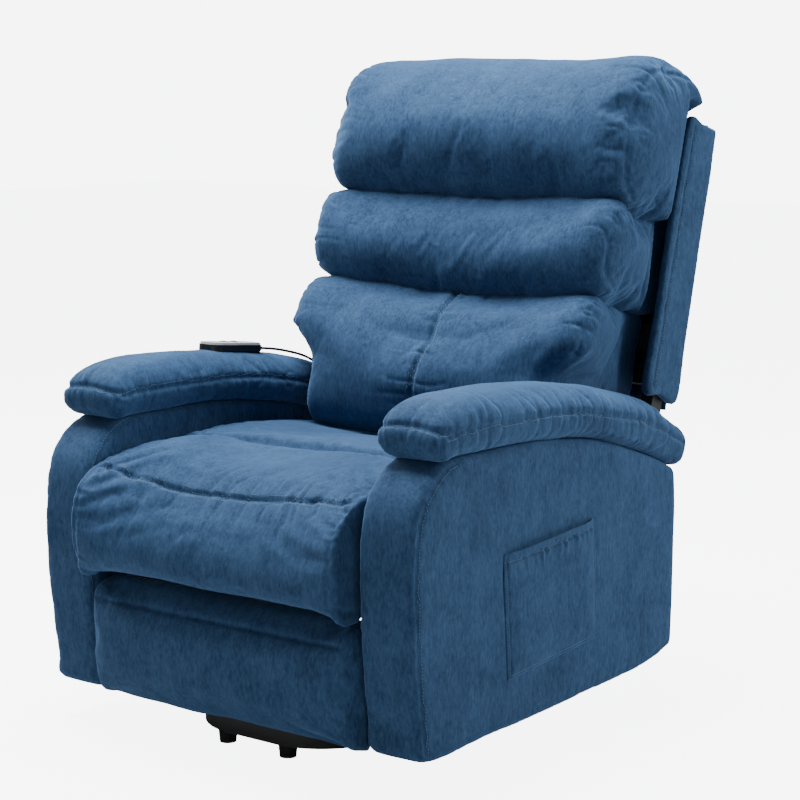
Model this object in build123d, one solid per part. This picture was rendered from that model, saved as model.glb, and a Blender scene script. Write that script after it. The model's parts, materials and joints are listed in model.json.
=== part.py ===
from build123d import *
import math
import os

# Lift recliner chair.  Millimetres, +Z up, the sitter faces -Y, +X is the sitter's left.
# Origin: on the floor, under the middle of the upholstered body.

# ---------------------------------------------------------------- driving dimensions
ARM_OUTER = 400.0            # half of the width over the arms
ARM_INNER = 287.0            # half of the opening between the arms
PAD_OUTER = 411.0            # the arm pads overhang the arms on both sides
PAD_INNER = 274.5
SEAT_HALF = 282.0            # half width of the seat and footrest cushions
COVER = 13.0                 # foam and fabric over the arm's plywood frame
BACK_ANGLE = 16.0            # lean of the back when upright
BACK_PIVOT = (170.0, 330.0)  # y, z of the back's hinge shaft
BACK_REAR = 530.0            # rearmost y of the upright back; the seat's front roll is at -530
RUNNING = 0.05               # radial clearance of a pin or shaft that turns
FOOT_HEIGHT = 20.0
BASE_HALF = 175.0            # half width of the base frame
BASE_FRONT = -400.0
BASE_REAR = 235.0
BASE_CORNER = 125.0          # outer radius of the base frame's bent front corners
TUBE_WIDE = 25.0
TUBE_HIGH = 30.0

# lift linkage, as (y, z) of its pivots
LIFT_BASE_PIVOT = (-300.0, 80.0)
LIFT_TOP_PIVOT = (60.0, 110.0)
GUIDE_BASE_PIVOT = (-306.0, 134.0)
GUIDE_TOP_PIVOT = (89.0, 224.0)
TORQUE_TUBE = (-240.0, 85.0)
LIFT_MOTOR_PIVOT = (200.0, 75.0)
LIFT_ROD_EYE = (-200.0, 80.0)
LIFT_MOTOR_X = -55.0

# footrest linkage, as (y, z) of its pivots
LEG_PIVOT = (-300.0, 262.0)
LEG_KNEE = (-330.0, 80.0)
LEG_TOE = (-405.0, 225.0)
LEG_GUIDE_PIVOT = (-335.0, 285.0)
LEG_GUIDE_EYE = (-343.8, 106.6)

# recline drive
RECLINE_MOTOR_PIVOT = (-200.0, 250.0)
RECLINE_ROD_EYE = (200.0, 250.0)
RECLINE_MOTOR_X = 60.0
FRONT_TUBE = (-245.0, 272.0)
REAR_TUBE = (140.0, 212.0)

# planes of the plates and links, as (near, far) distances from the middle
UPRIGHT_X = (175.0, 180.0)
LIFT_LINK_X = (182.0, 187.0)
LIFT_BRACKET_X = (189.0, 193.0)
GUIDE_LINK_X = (195.0, 200.0)
LEG_GUIDE_X = (245.0, 249.0)
LEG_UPPER_X = (250.0, 254.0)
LEG_LOWER_X = (255.0, 259.0)
SIDE_PLATE_X = (262.0, 266.0)
BACK_BRACKET_X = (270.0, 276.0)
PIN = 6.0

# handset, in its own frame: length along Y, lying on the right arm pad
HANDSET_SIZE = (52.0, 135.0, 15.0)
HANDSET_AT = (-340.0, -70.0, 608.2)
HANDSET_TILT = -5.5
BUTTON_RADIUS = 8.5
BUTTON_TRAVEL = 1.2

# handset cord: from the handset's gland, down beside the back cushion, to the control box
CORD_RADIUS = 2.5
CORD_ROUTE = [
    (-340.0, 15.1, 600.0),
    (-339.4, 41.0, 597.2),
    (-328.0, 70.0, 591.0),
    (-302.0, 93.0, 582.0),
    (-279.0, 107.0, 566.0),
    (-268.2, 116.0, 537.0),
    (-268.0, 124.0, 496.0),
    (-275.0, 133.0, 455.0),
    (-281.4, 138.0, 411.0),
    (-281.6, 140.0, 362.0),
    (-280.0, 135.0, 318.0),
    (-277.0, 112.0, 281.0),
    (-276.0, 72.0, 262.0),
    (-275.4, 22.0, 255.0),
    (-274.6, -30.0, 249.0),
    (-274.0, -76.0, 236.0),
    (-266.0, -106.0, 217.0),
    (-238.0, -118.0, 207.0),
    (-204.0, -114.0, 208.0),
    (-176.0, -110.0, 224.0),
    (-156.0, -114.0, 243.0),
    (-150.0, -127.0, 258.0),
    (-150.0, -145.0, 264.0),
]

os.makedirs("parts", exist_ok=True)


# ---------------------------------------------------------------- helpers
def block(x, y, z):
    """A box between (low, high) pairs."""
    size = [pair[1] - pair[0] for pair in (x, y, z)]
    middle = [(pair[0] + pair[1]) / 2 for pair in (x, y, z)]
    return Pos(*middle) * Box(*size)


def side_prism(outline, x):
    """A side-view outline of (y, z) points, extruded across the chair between two x."""
    face = make_face(Polyline([(0, y, z) for y, z in outline], close=True))
    return Pos(x[0], 0, 0) * extrude(face, amount=x[1] - x[0], dir=(1, 0, 0))


def bar(at, x, radius):
    """A round bar across the chair, at (y, z)."""
    length = x[1] - x[0]
    middle = (x[0] + x[1]) / 2
    return Pos(middle, at[0], at[1]) * Rot(0, 90, 0) * Cylinder(radius, length)


def link(first, second, width, x, holes):
    """A flat link with round ends between two (y, z) pivots; holes are the two radii."""
    dy = second[0] - first[0]
    dz = second[1] - first[1]
    length = math.hypot(dy, dz)
    turn = math.degrees(math.atan2(dz, dy))
    middle = ((first[0] + second[0]) / 2, (first[1] + second[1]) / 2)
    thick = x[1] - x[0]
    strip = Pos((x[0] + x[1]) / 2, *middle) * Rot(turn, 0, 0) * Box(thick, length, width)
    plate = strip + bar(first, x, width / 2) + bar(second, x, width / 2)
    for at, radius in zip((first, second), holes):
        if radius:
            plate -= bar(at, x, radius)
    return plate


def headed_pin(at, x, radius):
    """A pin with a round head at its far end x[1] and a plain end at x[0]."""
    head = 2.5 if x[1] > x[0] else -2.5
    span = (min(x), max(x))
    cap = (min(x[1], x[1] + head), max(x[1], x[1] + head))
    return bar(at, span, radius) + bar(at, cap, radius + 3)


def mirrored(solid):
    return mirror(solid, about=Plane.YZ)


def both_sides(solid):
    return [solid, mirrored(solid)]


def lean(w, u):
    """Back coordinates (w to the rear, u up the back) to the chair's (y, z), at rest."""
    angle = math.radians(BACK_ANGLE)
    y = BACK_PIVOT[0] + w * math.cos(angle) + u * math.sin(angle)
    z = BACK_PIVOT[1] - w * math.sin(angle) + u * math.cos(angle)
    return (y, z)


def leaned(outline):
    return [lean(w, u) for w, u in outline]


def save(name, shape):
    solids = shape if isinstance(shape, list) else [shape]
    result = solids[0] if len(solids) == 1 else Compound(children=solids)
    export_step(result, f"parts/{name}.step")


# ---------------------------------------------------------------- base
def base_ring(half, front, rear, corner, z):
    """A flat block whose two front corners are round, seen from above."""
    slab = block((-half, half), (front, rear), z)
    corners = slab.edges().filter_by(Axis.Z).sort_by(Axis.Y)[:2]
    return fillet(corners, corner)


def make_base():
    z = (FOOT_HEIGHT, FOOT_HEIGHT + TUBE_HIGH)
    frame = base_ring(BASE_HALF, BASE_FRONT, BASE_REAR, BASE_CORNER, z)
    frame -= base_ring(BASE_HALF - TUBE_WIDE, BASE_FRONT + TUBE_WIDE, BASE_REAR - TUBE_WIDE,
                       BASE_CORNER - TUBE_WIDE, z)
    save("base_frame", frame)

    foot_places = [(66, -386), (-66, -386), (155, 222), (-155, 222)]
    feet = []
    for x, y in foot_places:
        foot = Pos(x, y, FOOT_HEIGHT / 2) * Cone(14, 16, FOOT_HEIGHT)
        feet.append(foot)
    save("base_feet", feet)

    outline = [(-330, 22), (-262, 22), (-262, 58), (-284, 64), (-284, 152), (-330, 152)]
    upright = side_prism(outline, UPRIGHT_X)
    for pivot in (LIFT_BASE_PIVOT, GUIDE_BASE_PIVOT):
        upright -= bar(pivot, UPRIGHT_X, PIN)
    save("front_uprights", both_sides(upright))

    lower = headed_pin(LIFT_BASE_PIVOT, (UPRIGHT_X[0], LIFT_LINK_X[1] + 0.3), PIN)
    upper = headed_pin(GUIDE_BASE_PIVOT, (UPRIGHT_X[0], GUIDE_LINK_X[1] + 0.3), PIN)
    motor_pin = bar(LIFT_MOTOR_PIVOT, (LIFT_MOTOR_X - 21, LIFT_MOTOR_X + 21), PIN)
    save("base_pivot_pins", both_sides(lower) + both_sides(upper) + [motor_pin])

    ear = side_prism([(188, 50), (224, 50), (216, 90), (188, 90)], (0, 5))
    ear -= bar(LIFT_MOTOR_PIVOT, (0, 5), PIN)
    ears = [Pos(LIFT_MOTOR_X + 14, 0, 0) * ear, Pos(LIFT_MOTOR_X - 19, 0, 0) * ear]
    foot_plate = block((LIFT_MOTOR_X - 19, LIFT_MOTOR_X + 19), (188, 235), (50, 54))
    bracket = foot_plate + ears[0] + ears[1]
    save("lift_motor_bracket", bracket)


# ---------------------------------------------------------------- lift linkage
def make_lift():
    arm = link(LIFT_BASE_PIVOT, LIFT_TOP_PIVOT, 32, LIFT_LINK_X, (PIN + RUNNING, PIN + RUNNING))
    arm -= bar(TORQUE_TUBE, LIFT_LINK_X, 12)
    save("lift_links", both_sides(arm))

    # the levers' eyes are wide, because the rod's end leaves their arc a little
    tube = bar(TORQUE_TUBE, (-LIFT_LINK_X[1], LIFT_LINK_X[1]), 12)
    for x in ((LIFT_MOTOR_X + 11, LIFT_MOTOR_X + 16), (LIFT_MOTOR_X - 16, LIFT_MOTOR_X - 11)):
        tube += link(TORQUE_TUBE, LIFT_ROD_EYE, 44, x, (0, 15.5))
    save("lift_torque_tube", tube)

    guide = link(GUIDE_BASE_PIVOT, GUIDE_TOP_PIVOT, 30, GUIDE_LINK_X, (PIN + RUNNING, PIN + 2.4))
    save("guide_links", both_sides(guide))


def actuator(motor_pivot, rod_eye, x, tube_length, tube_radius, rod_radius, motor_side):
    """Motor housing, outer tube and rod with its cross pin, laid between two pivots."""
    dy = rod_eye[0] - motor_pivot[0]
    dz = rod_eye[1] - motor_pivot[1]
    reach = math.hypot(dy, dz)
    turn = math.degrees(math.atan2(dz, dy))
    place = Pos(x, *motor_pivot) * Rot(turn, 0, 0)

    # in the drive's own frame the pivot is at the origin and the rod points along +Y
    eye = Rot(0, 90, 0) * Cylinder(13, 20) + Pos(0, 10, 0) * Box(20, 20, 26)
    gearbox = Pos(0, 42, 0) * Box(44, 52, 44)
    gearbox = fillet(gearbox.edges().filter_by(Axis.Y), 9)
    motor = Pos(motor_side * 69, 42, 0) * Rot(0, 90, 0) * Cylinder(22, 94)
    housing = eye + gearbox + motor
    housing -= Rot(0, 90, 0) * Cylinder(PIN + RUNNING, 30)

    tube_start = 68
    tube = Pos(0, tube_start + tube_length / 2, 0) * Rot(90, 0, 0) * Cylinder(tube_radius, tube_length)
    tube -= Pos(0, tube_start + tube_length / 2, 0) * Rot(90, 0, 0) * Cylinder(rod_radius + 0.1, tube_length)

    rod_start = tube_start + tube_length * 0.45
    rod = Pos(0, (rod_start + reach) / 2, 0) * Rot(90, 0, 0) * Cylinder(rod_radius, reach - rod_start)
    head = Pos(0, reach, 0) * Rot(0, 90, 0) * Cylinder(12, 16)
    rod = rod + head + Pos(0, reach, 0) * Rot(0, 90, 0) * Cylinder(5, 36)
    return place * housing, place * tube, place * rod


def make_lift_drive():
    housing, tube, rod = actuator(LIFT_MOTOR_PIVOT, LIFT_ROD_EYE, LIFT_MOTOR_X, 190, 17, 10, 1)
    save("lift_motor_housing", housing)
    save("lift_outer_tube", tube)
    save("lift_rod", rod)


# ---------------------------------------------------------------- chassis
def make_chassis():
    outline = [(-352, 330), (-352, 268), (-318, 240), (96, 240), (112, 192), (168, 192),
               (196, 300), (196, 340), (186, 354), (154, 354), (142, 330)]
    plate = side_prism(outline, SIDE_PLATE_X)
    plate -= bar(BACK_PIVOT, SIDE_PLATE_X, 12.5 + RUNNING)
    for pivot in (LEG_PIVOT, LEG_GUIDE_PIVOT):
        plate -= bar(pivot, SIDE_PLATE_X, PIN)
    for tube in (FRONT_TUBE, REAR_TUBE):
        plate -= bar(tube, SIDE_PLATE_X, 13)
    for y in BOLT_PLACES:
        plate -= bar((y, BOLT_Z), SIDE_PLATE_X, 4.2)
    save("side_plate_left", plate)
    save("side_plate_right", mirrored(plate))

    outline = [(40, 92), (80, 90), (168, 196), (168, 232), (104, 250), (70, 246), (40, 130)]
    bracket = side_prism(outline, LIFT_BRACKET_X)
    for pivot in (LIFT_TOP_PIVOT, GUIDE_TOP_PIVOT):
        bracket -= bar(pivot, LIFT_BRACKET_X, PIN)
    rear_tube = bar(REAR_TUBE, (-SIDE_PLATE_X[1], SIDE_PLATE_X[1]), 13)
    save("rear_cross_tube", rear_tube + bracket + mirrored(bracket))
    lower = headed_pin(LIFT_TOP_PIVOT, (LIFT_BRACKET_X[1], LIFT_LINK_X[0] - 0.3), PIN)
    upper = headed_pin(GUIDE_TOP_PIVOT, (LIFT_BRACKET_X[0], GUIDE_LINK_X[1] + 0.3), PIN)
    knee = headed_pin(LEG_PIVOT, (SIDE_PLATE_X[1], LEG_LOWER_X[0] - 0.3), PIN)
    guide = headed_pin(LEG_GUIDE_PIVOT, (SIDE_PLATE_X[1], LEG_GUIDE_X[0] - 0.3), PIN)
    pins = [bar(RECLINE_MOTOR_PIVOT, (RECLINE_MOTOR_X - 19, RECLINE_MOTOR_X + 19), PIN)]
    for pin in (lower, upper, knee, guide):
        pins += both_sides(pin)
    save("chassis_pivot_pins", pins)

    ear = link(FRONT_TUBE, RECLINE_MOTOR_PIVOT, 28, (0, 5), (0, PIN))
    front_tube = bar(FRONT_TUBE, (-SIDE_PLATE_X[1], SIDE_PLATE_X[1]), 13)
    front_tube += Pos(RECLINE_MOTOR_X + 12, 0, 0) * ear
    front_tube += Pos(RECLINE_MOTOR_X - 17, 0, 0) * ear
    save("front_cross_tube", front_tube)


def make_recline_drive():
    housing, tube, rod = actuator(RECLINE_MOTOR_PIVOT, RECLINE_ROD_EYE, RECLINE_MOTOR_X, 190, 17, 10, 1)
    save("recline_motor_housing", housing)
    save("recline_outer_tube", tube)
    save("recline_rod", rod)


# ---------------------------------------------------------------- seat
SEAT_RAIL_Z = (302.0, 338.0)
SPRING_COUNT = 5


def make_seat():
    frame = block((-261.5, 261.5), (-440, 125), SEAT_RAIL_Z)
    frame -= block((-226, 226), (-408, 95), SEAT_RAIL_Z)
    for y in BOLT_PLACES:
        for side in (-1, 1):
            ends = sorted((side * 225, side * 262))
            frame -= bar((y, BOLT_Z), ends, 4.2)
    save("seat_frame", frame)

    springs = []
    for i in range(SPRING_COUNT):
        x = (i - (SPRING_COUNT - 1) / 2) * 86
        springs.append(Pos(x, 0, 0) * zigzag_spring(-424, 110, 341.2))
    save("seat_springs", springs)

    # the front roll hangs in front of the frame; the rest lies on the springs
    outline = [(-446, 345), (-446, 291), (-478, 289), (-502, 294), (-520, 311), (-529, 345),
               (-530, 385), (-520, 420), (-498, 448), (-462, 468), (-380, 480), (-280, 486),
               (-150, 480), (0, 468), (118, 458), (118, 345)]
    save("seat_cushion", side_prism(outline, (-SEAT_HALF, SEAT_HALF)))


def zigzag_spring(front, rear, z):
    """A flat serpentine spring wire that runs from the front rail to the rear rail."""
    turns = 8
    pitch = (rear - front) / turns
    swing = 22
    points = [(0, front, z)]
    for i in range(turns):
        side = swing if i % 2 else -swing
        points.append((side, front + pitch * (i + 0.25), z))
        points.append((side, front + pitch * (i + 0.75), z))
    points.append((0, rear, z))
    path = FilletPolyline(*points, radius=8)
    start = Plane(origin=path @ 0, z_dir=path % 0)
    return sweep(start * Circle(1.8), path=path)


# ---------------------------------------------------------------- arms
BOLT_Z = 318.0
BOLT_PLACES = (-210.0, -60.0, 80.0)
ARM_TOP = [(-381, 524), (-306, 524), (-189, 523), (-65, 513), (33, 499), (146, 467), (266, 424)]
ARM_OUTLINE = [(-448, 67), (-123, 71), (87, 78), (200, 86), (262, 101), (272, 112), (276, 300),
               (276, 415)] + ARM_TOP[::-1] + [(-425, 506), (-457, 478), (-475, 442), (-483, 398),
                                             (-486, 340), (-478, 220), (-463, 120)]
PAD_ROUND = 26.0             # the pad's top edges, drawn as a chamfer


def inset(outline, amount):
    """The outline moved inwards, towards the side view's middle."""
    face = make_face(Polyline([(0, y, z) for y, z in outline], close=True))
    return offset(face, -amount)


def on_crown(edge):
    """Whether an edge of the pad lies on its domed top, ends left out."""
    middle = edge @ 0.5
    return -405 < middle.Y < 301 and middle.Z > 520 + max(0, middle.Y - 60) * -0.30 + 12


def make_arms():
    shell = side_prism(ARM_OUTLINE, (ARM_INNER, ARM_OUTER))
    hollow = extrude(inset(ARM_OUTLINE, COVER), amount=ARM_OUTER - ARM_INNER - 2 * COVER, dir=(1, 0, 0))
    cover = shell - Pos(ARM_INNER + COVER, 0, 0) * hollow
    for y in BOLT_PLACES:
        cover -= bar((y, BOLT_Z), (ARM_INNER, ARM_INNER + COVER), 4.2)
    save("arm_cover_left", cover)
    save("arm_cover_right", mirrored(cover))

    # plywood inner and outer panels, joined by three rails
    panel = inset(ARM_OUTLINE, COVER + 0.4)
    inner_x = ARM_INNER + COVER + 0.2
    outer_x = ARM_OUTER - COVER - 0.2
    frame = Pos(inner_x, 0, 0) * extrude(panel, amount=15, dir=(1, 0, 0))
    frame += Pos(outer_x - 12, 0, 0) * extrude(panel, amount=12, dir=(1, 0, 0))
    for y, z in ((-430, 200), (-300, 480), (180, 150), (180, 400)):
        frame += block((inner_x, outer_x), (y, y + 30), (z - 30, z + 20))
    for y in BOLT_PLACES:
        frame -= bar((y, BOLT_Z), (inner_x, inner_x + 15), 4.2)
    save("arm_frame_left", frame)
    save("arm_frame_right", mirrored(frame))

    bolts = []
    for y in BOLT_PLACES:
        bolt = bar((y, BOLT_Z), (222, inner_x + 15), 4) + bar((y, BOLT_Z), (217, 222), 7)
        spacer = bar((y, BOLT_Z), (SIDE_PLATE_X[1], ARM_INNER), 9)
        spacer -= bar((y, BOLT_Z), (SIDE_PLATE_X[1], ARM_INNER), 4.2)
        bolts += both_sides(bolt) + both_sides(spacer)
    save("arm_bolts", bolts)

    crown = [(286, 430), (306, 462), (300, 492), (175, 553), (50, 583), (-98, 603), (-236, 615),
             (-350, 616), (-412, 600), (-432, 572), (-424, 540), (-400, 524)]
    pad = side_prism(ARM_TOP + crown, (PAD_INNER, PAD_OUTER))
    long_edges = [e for e in pad.edges() if abs(e.tangent_at(0).X) < 0.1 and on_crown(e)]
    pad = chamfer(long_edges, PAD_ROUND)
    save("arm_pad_left", pad)
    save("arm_pad_right", mirrored(pad))


POCKET_MIDDLE = (-120.0, 264.0)
POCKET_SIZE = (262.0, 206.0)
POCKET_TILT = 4.0


def make_pockets():
    """A flat pouch on the arm's outer side, open at its top."""
    wide, high = POCKET_SIZE
    pouch = Pos(5, 0, 0) * Box(10, wide, high)
    pouch -= Pos(3.7, 0, 3) * Box(7.4, wide - 6, high)
    place = Pos(ARM_OUTER, *POCKET_MIDDLE) * Rot(POCKET_TILT, 0, 0)
    pocket = place * pouch
    save("side_pocket_left", pocket)
    save("side_pocket_right", mirrored(pocket))


# ---------------------------------------------------------------- back
POST_X = (276.0, 301.0)
POST_W = (117.0, 151.0)      # the steel posts, front to rear, in back coordinates
POST_TOP = 728.0
BACK_OUTER = 321.0
WING_TOP = 738.0
CUSHION_BACK = 110.0         # where the back cushions rest against the webbing


def rear_w(u):
    """How far back the rear cover is at a height up the back, in back coordinates."""
    angle = math.radians(BACK_ANGLE)
    top = (BACK_REAR - BACK_PIVOT[0] - WING_TOP * math.sin(angle)) / math.cos(angle)
    return top + (WING_TOP - u) * 0.024


def make_back():
    shaft = bar(BACK_PIVOT, (-BACK_BRACKET_X[1], BACK_BRACKET_X[1]), 12.5)
    for x in ((RECLINE_MOTOR_X + 11, RECLINE_MOTOR_X + 16), (RECLINE_MOTOR_X - 16, RECLINE_MOTOR_X - 11)):
        shaft += link(BACK_PIVOT, RECLINE_ROD_EYE, 34, x, (0, 9.5))
    save("back_shaft", shaft)

    front, rear = POST_W
    outline = leaned([(-16, -20), (16, -20), (rear, 104), (rear, 240), (front, 240), (104, 140), (-14, 22)])
    bracket = side_prism(outline, BACK_BRACKET_X) - bar(BACK_PIVOT, BACK_BRACKET_X, 12.5)
    save("back_bracket_left", bracket)
    save("back_bracket_right", mirrored(bracket))

    post = side_prism(leaned([(front, 112), (rear, 112), (rear, POST_TOP), (front, POST_TOP)]), POST_X)
    frame = post + mirrored(post)
    for u in (262, 470, 690):
        rail = leaned([(front, u), (front + 25, u), (front + 25, u + 34), (front, u + 34)])
        frame += side_prism(rail, (-POST_X[0], POST_X[0]))
    save("back_frame", frame)

    straps = []
    for u in (320, 390, 560, 630):
        strap = leaned([(front - 4, u), (front - 0.2, u), (front - 0.2, u + 50), (front - 4, u + 50)])
        straps.append(side_prism(strap, (-298, 298)))
    save("back_webbing", straps)

    low = 240
    wing = side_prism(leaned([(66, low + 6), (rear_w(low), low), (rear_w(WING_TOP), WING_TOP),
                              (140, WING_TOP + 8), (62, WING_TOP - 2)]), (POST_X[1] + 0.5, BACK_OUTER))
    save("back_wing_left", wing)
    save("back_wing_right", mirrored(wing))
    cover = side_prism(leaned([(rear_w(low) - 11, low), (rear_w(low), low), (rear_w(WING_TOP), WING_TOP),
                               (rear_w(WING_TOP) - 11, WING_TOP)]), (-POST_X[1], POST_X[1]))
    save("rear_cover", cover)


def make_back_cushions():
    back = CUSHION_BACK
    head = [(back, 732), (back, 565), (-70, 556), (-112, 574), (-150, 630), (-156, 700), (-140, 765),
            (-96, 806), (-40, 822), (30, 824), (86, 806), (back, 770)]
    middle = [(back, 563), (back, 395), (-72, 388), (-116, 400), (-152, 440), (-158, 490), (-140, 532),
              (-104, 552), (-70, 554.5)]
    save("head_cushion", side_prism(leaned(head), (-335, 335)) - side_clearance())
    save("middle_cushion", side_prism(leaned(middle), (-338, 338)) - side_clearance())

    # the lumbar cushion is narrow where it goes down between the arms
    upper = [(back, 393), (back, 300), (-178, 300), (-176, 330), (-152, 366), (-112, 384), (-72, 386.5)]
    lower = [(back, 300), (back, 250), (60, 190), (-40, 150), (-130, 132), (-186, 150), (-196, 190),
             (-190, 250), (-178, 300)]
    cushion = side_prism(leaned(upper), (-312, 312)) - side_clearance()
    cushion += side_prism(leaned(lower), (-262, 262))
    save("lumbar_cushion", cushion)


def side_clearance():
    """Room for the wings and posts, cut from the cushions' rear corners."""
    room = side_prism(leaned([(58, 246), (190, 246), (190, 900), (58, 900)]), (275.5, 345))
    return room + mirrored(room)


# ---------------------------------------------------------------- footrest
def make_footrest():
    lower = link(LEG_PIVOT, LEG_KNEE, 24, LEG_LOWER_X, (PIN + RUNNING, PIN))
    upper = link(LEG_KNEE, LEG_TOE, 24, LEG_UPPER_X, (PIN + RUNNING, PIN + RUNNING))
    upper -= bar(LEG_GUIDE_EYE, LEG_UPPER_X, 4)
    guide = link(LEG_GUIDE_PIVOT, LEG_GUIDE_EYE, 24, LEG_GUIDE_X, (PIN + RUNNING, 0))
    guide += bar(LEG_GUIDE_EYE, LEG_GUIDE_X, 16)
    guide -= bar(LEG_GUIDE_EYE, LEG_GUIDE_X, 11)
    save("footrest_lower_links", both_sides(lower))
    save("footrest_upper_links", both_sides(upper))
    save("footrest_guide_links", both_sides(guide))

    # the knee's pin has its head outside, clear of the guide links
    knee = headed_pin(LEG_KNEE, (LEG_UPPER_X[0], LEG_LOWER_X[1]), PIN)
    save("footrest_knee_pins", both_sides(knee))
    eye = headed_pin(LEG_GUIDE_EYE, (LEG_UPPER_X[1], LEG_GUIDE_X[0] - 0.3), 4)
    save("footrest_guide_pins", both_sides(eye))

    outline = [(-417, 205), (-396, 213), (-392, 225), (-396, 237), (-417, 245)]
    ear = side_prism(outline, LEG_LOWER_X) - bar(LEG_TOE, LEG_LOWER_X, PIN)
    flange = block((LEG_LOWER_X[0], 262), (-418, -415), (195, 255))
    save("footrest_brackets", both_sides(ear + flange))
    toe = headed_pin(LEG_TOE, (LEG_LOWER_X[1], LEG_UPPER_X[0] - 0.3), PIN)
    save("footrest_toe_pins", both_sides(toe))
    save("footrest_board", block((-262, 262), (-430, -418), (74, 262)))

    outline = [(-430.2, 63), (-430.2, 268), (-462, 268), (-484, 258), (-492, 236), (-493, 170),
               (-488, 110), (-474, 72), (-460, 63)]
    save("footrest_cushion", side_prism(outline, (-SEAT_HALF, SEAT_HALF)))


# ---------------------------------------------------------------- controls
def make_handset():
    wide, long, high = HANDSET_SIZE
    place = Pos(*HANDSET_AT) * Rot(HANDSET_TILT, 0, 0)
    button_places = [(0, -18), (0, 8)]

    base = fillet(Box(wide, long, high).edges().filter_by(Axis.Z), 20)
    base = chamfer(base.faces().sort_by(Axis.Z)[0].edges(), 4)
    lid = fillet((Pos(0, 0, high / 2 + 2) * Box(wide - 4, long - 4, 4)).edges().filter_by(Axis.Z), 18)
    for x, y in button_places:
        lid -= Pos(x, y, high / 2 + 2) * Cylinder(BUTTON_RADIUS + 0.2, 4)
        base -= Pos(x, y, high / 2 - 1.5) * Cylinder(BUTTON_RADIUS + 0.8, 3)
    save("handset_base", place * base)
    save("handset_lid", place * lid)

    names = ("button_up", "button_down")
    for name, (x, y) in zip(names, button_places):
        low = high / 2 - 3 + BUTTON_TRAVEL + 0.3
        top = high / 2 + 4 + 1.6
        button = Pos(x, y, (low + top) / 2) * Cylinder(BUTTON_RADIUS, top - low)
        save(name, place * button)

    gland = place * Pos(0, long / 2 + 9, 0) * Rot(-90, 0, 0) * Cone(4.6, 3.4, 18)
    save("handset_gland", gland)


def make_cord():
    """Straight runs joined by tangent arcs as large as the runs allow."""
    radii = []
    points = [Vector(*p) for p in CORD_ROUTE]
    for before, corner, after in zip(points, points[1:], points[2:]):
        turn = math.radians((corner - before).get_angle(after - corner))
        run = min((corner - before).length, (after - corner).length)
        radii.append(0.45 * run / math.tan(turn / 2))
    print("cord radii", [round(r, 1) for r in radii])
    path = FilletPolyline(*CORD_ROUTE, radius=radii)
    start = Plane(origin=path @ 0, z_dir=path % 0)
    cord = sweep(start * Circle(CORD_RADIUS), path=path)
    print("cord length", round(path.length, 1), "volume ratio",
          round(cord.volume / (path.length * math.pi * CORD_RADIUS ** 2), 4))
    save("handset_cord", cord)


CONTROL_BOX = ((-196.0, -104.0), (-231.0, -163.0), (243.0, 297.0))


def make_control_box():
    box = block(*CONTROL_BOX)
    box = fillet(box.edges().filter_by(Axis.Z), 5)
    inlet_x = (-186.0, -158.0)
    recess = block(inlet_x, (CONTROL_BOX[1][1] - 14, CONTROL_BOX[1][1]), (252, 272))
    save("control_box", box - recess)
    shell = block(inlet_x, (CONTROL_BOX[1][1] - 14, CONTROL_BOX[1][1]), (252, 272))
    shell -= block((inlet_x[0] + 3, inlet_x[1] - 3), (CONTROL_BOX[1][1] - 11, CONTROL_BOX[1][1]), (255, 269))
    save("mains_inlet", shell)
    end = CORD_ROUTE[-1]
    last = Vector(*CORD_ROUTE[-1]) - Vector(*CORD_ROUTE[-2])
    plug = Plane(origin=Vector(*end), z_dir=last.normalized())
    socket = extrude(plug * Circle(5), amount=26) & block((-170, -130), (CONTROL_BOX[1][1], -100), (230, 300))
    save("cord_plug", socket)


make_base()
make_lift()
make_lift_drive()
make_chassis()
make_recline_drive()
make_seat()
make_arms()
make_pockets()
make_back()
make_back_cushions()
make_footrest()
make_handset()
make_cord()
make_control_box()
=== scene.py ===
# %% [markdown]
# # A lift recliner chair
# The chair is a steel lift mechanism under a body of padded, suede-covered cushions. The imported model
# brings the steel, the hinges and the plain soft solids. This lesson replaces each plain solid with a
# sewn cushion, gives every hard part its finish, and leaves all places and sizes to the frame.

import json
import math

import bmesh
import bpy
import numpy as np
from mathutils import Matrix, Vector
from mathutils.bvhtree import BVHTree


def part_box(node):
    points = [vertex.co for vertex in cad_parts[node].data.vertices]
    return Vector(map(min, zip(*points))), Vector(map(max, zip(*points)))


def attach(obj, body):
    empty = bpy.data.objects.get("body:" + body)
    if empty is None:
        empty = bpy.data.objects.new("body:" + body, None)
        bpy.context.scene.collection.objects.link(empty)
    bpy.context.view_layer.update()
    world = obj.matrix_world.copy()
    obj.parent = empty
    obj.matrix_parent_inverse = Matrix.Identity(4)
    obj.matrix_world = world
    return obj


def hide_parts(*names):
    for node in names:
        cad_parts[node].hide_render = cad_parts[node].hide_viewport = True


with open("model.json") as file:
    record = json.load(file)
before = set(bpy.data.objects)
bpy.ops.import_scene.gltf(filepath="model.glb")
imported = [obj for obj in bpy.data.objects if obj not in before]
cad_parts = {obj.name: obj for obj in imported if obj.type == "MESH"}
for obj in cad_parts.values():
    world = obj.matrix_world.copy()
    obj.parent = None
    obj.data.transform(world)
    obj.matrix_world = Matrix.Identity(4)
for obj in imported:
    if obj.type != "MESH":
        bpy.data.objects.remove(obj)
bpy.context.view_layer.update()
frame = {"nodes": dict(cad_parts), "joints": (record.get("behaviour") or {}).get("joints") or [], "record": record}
nodes = frame["nodes"]

# %% [markdown]
# ## Where things are
# Every soft piece is drawn inside the box of the CAD node that it replaces. The boxes are printed here,
# so that each outline further down can be compared with the room it has. The back leans, so its cushions
# are drawn in "back coordinates": w runs to the rear and u up the back, both from the recline hinge.

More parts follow.
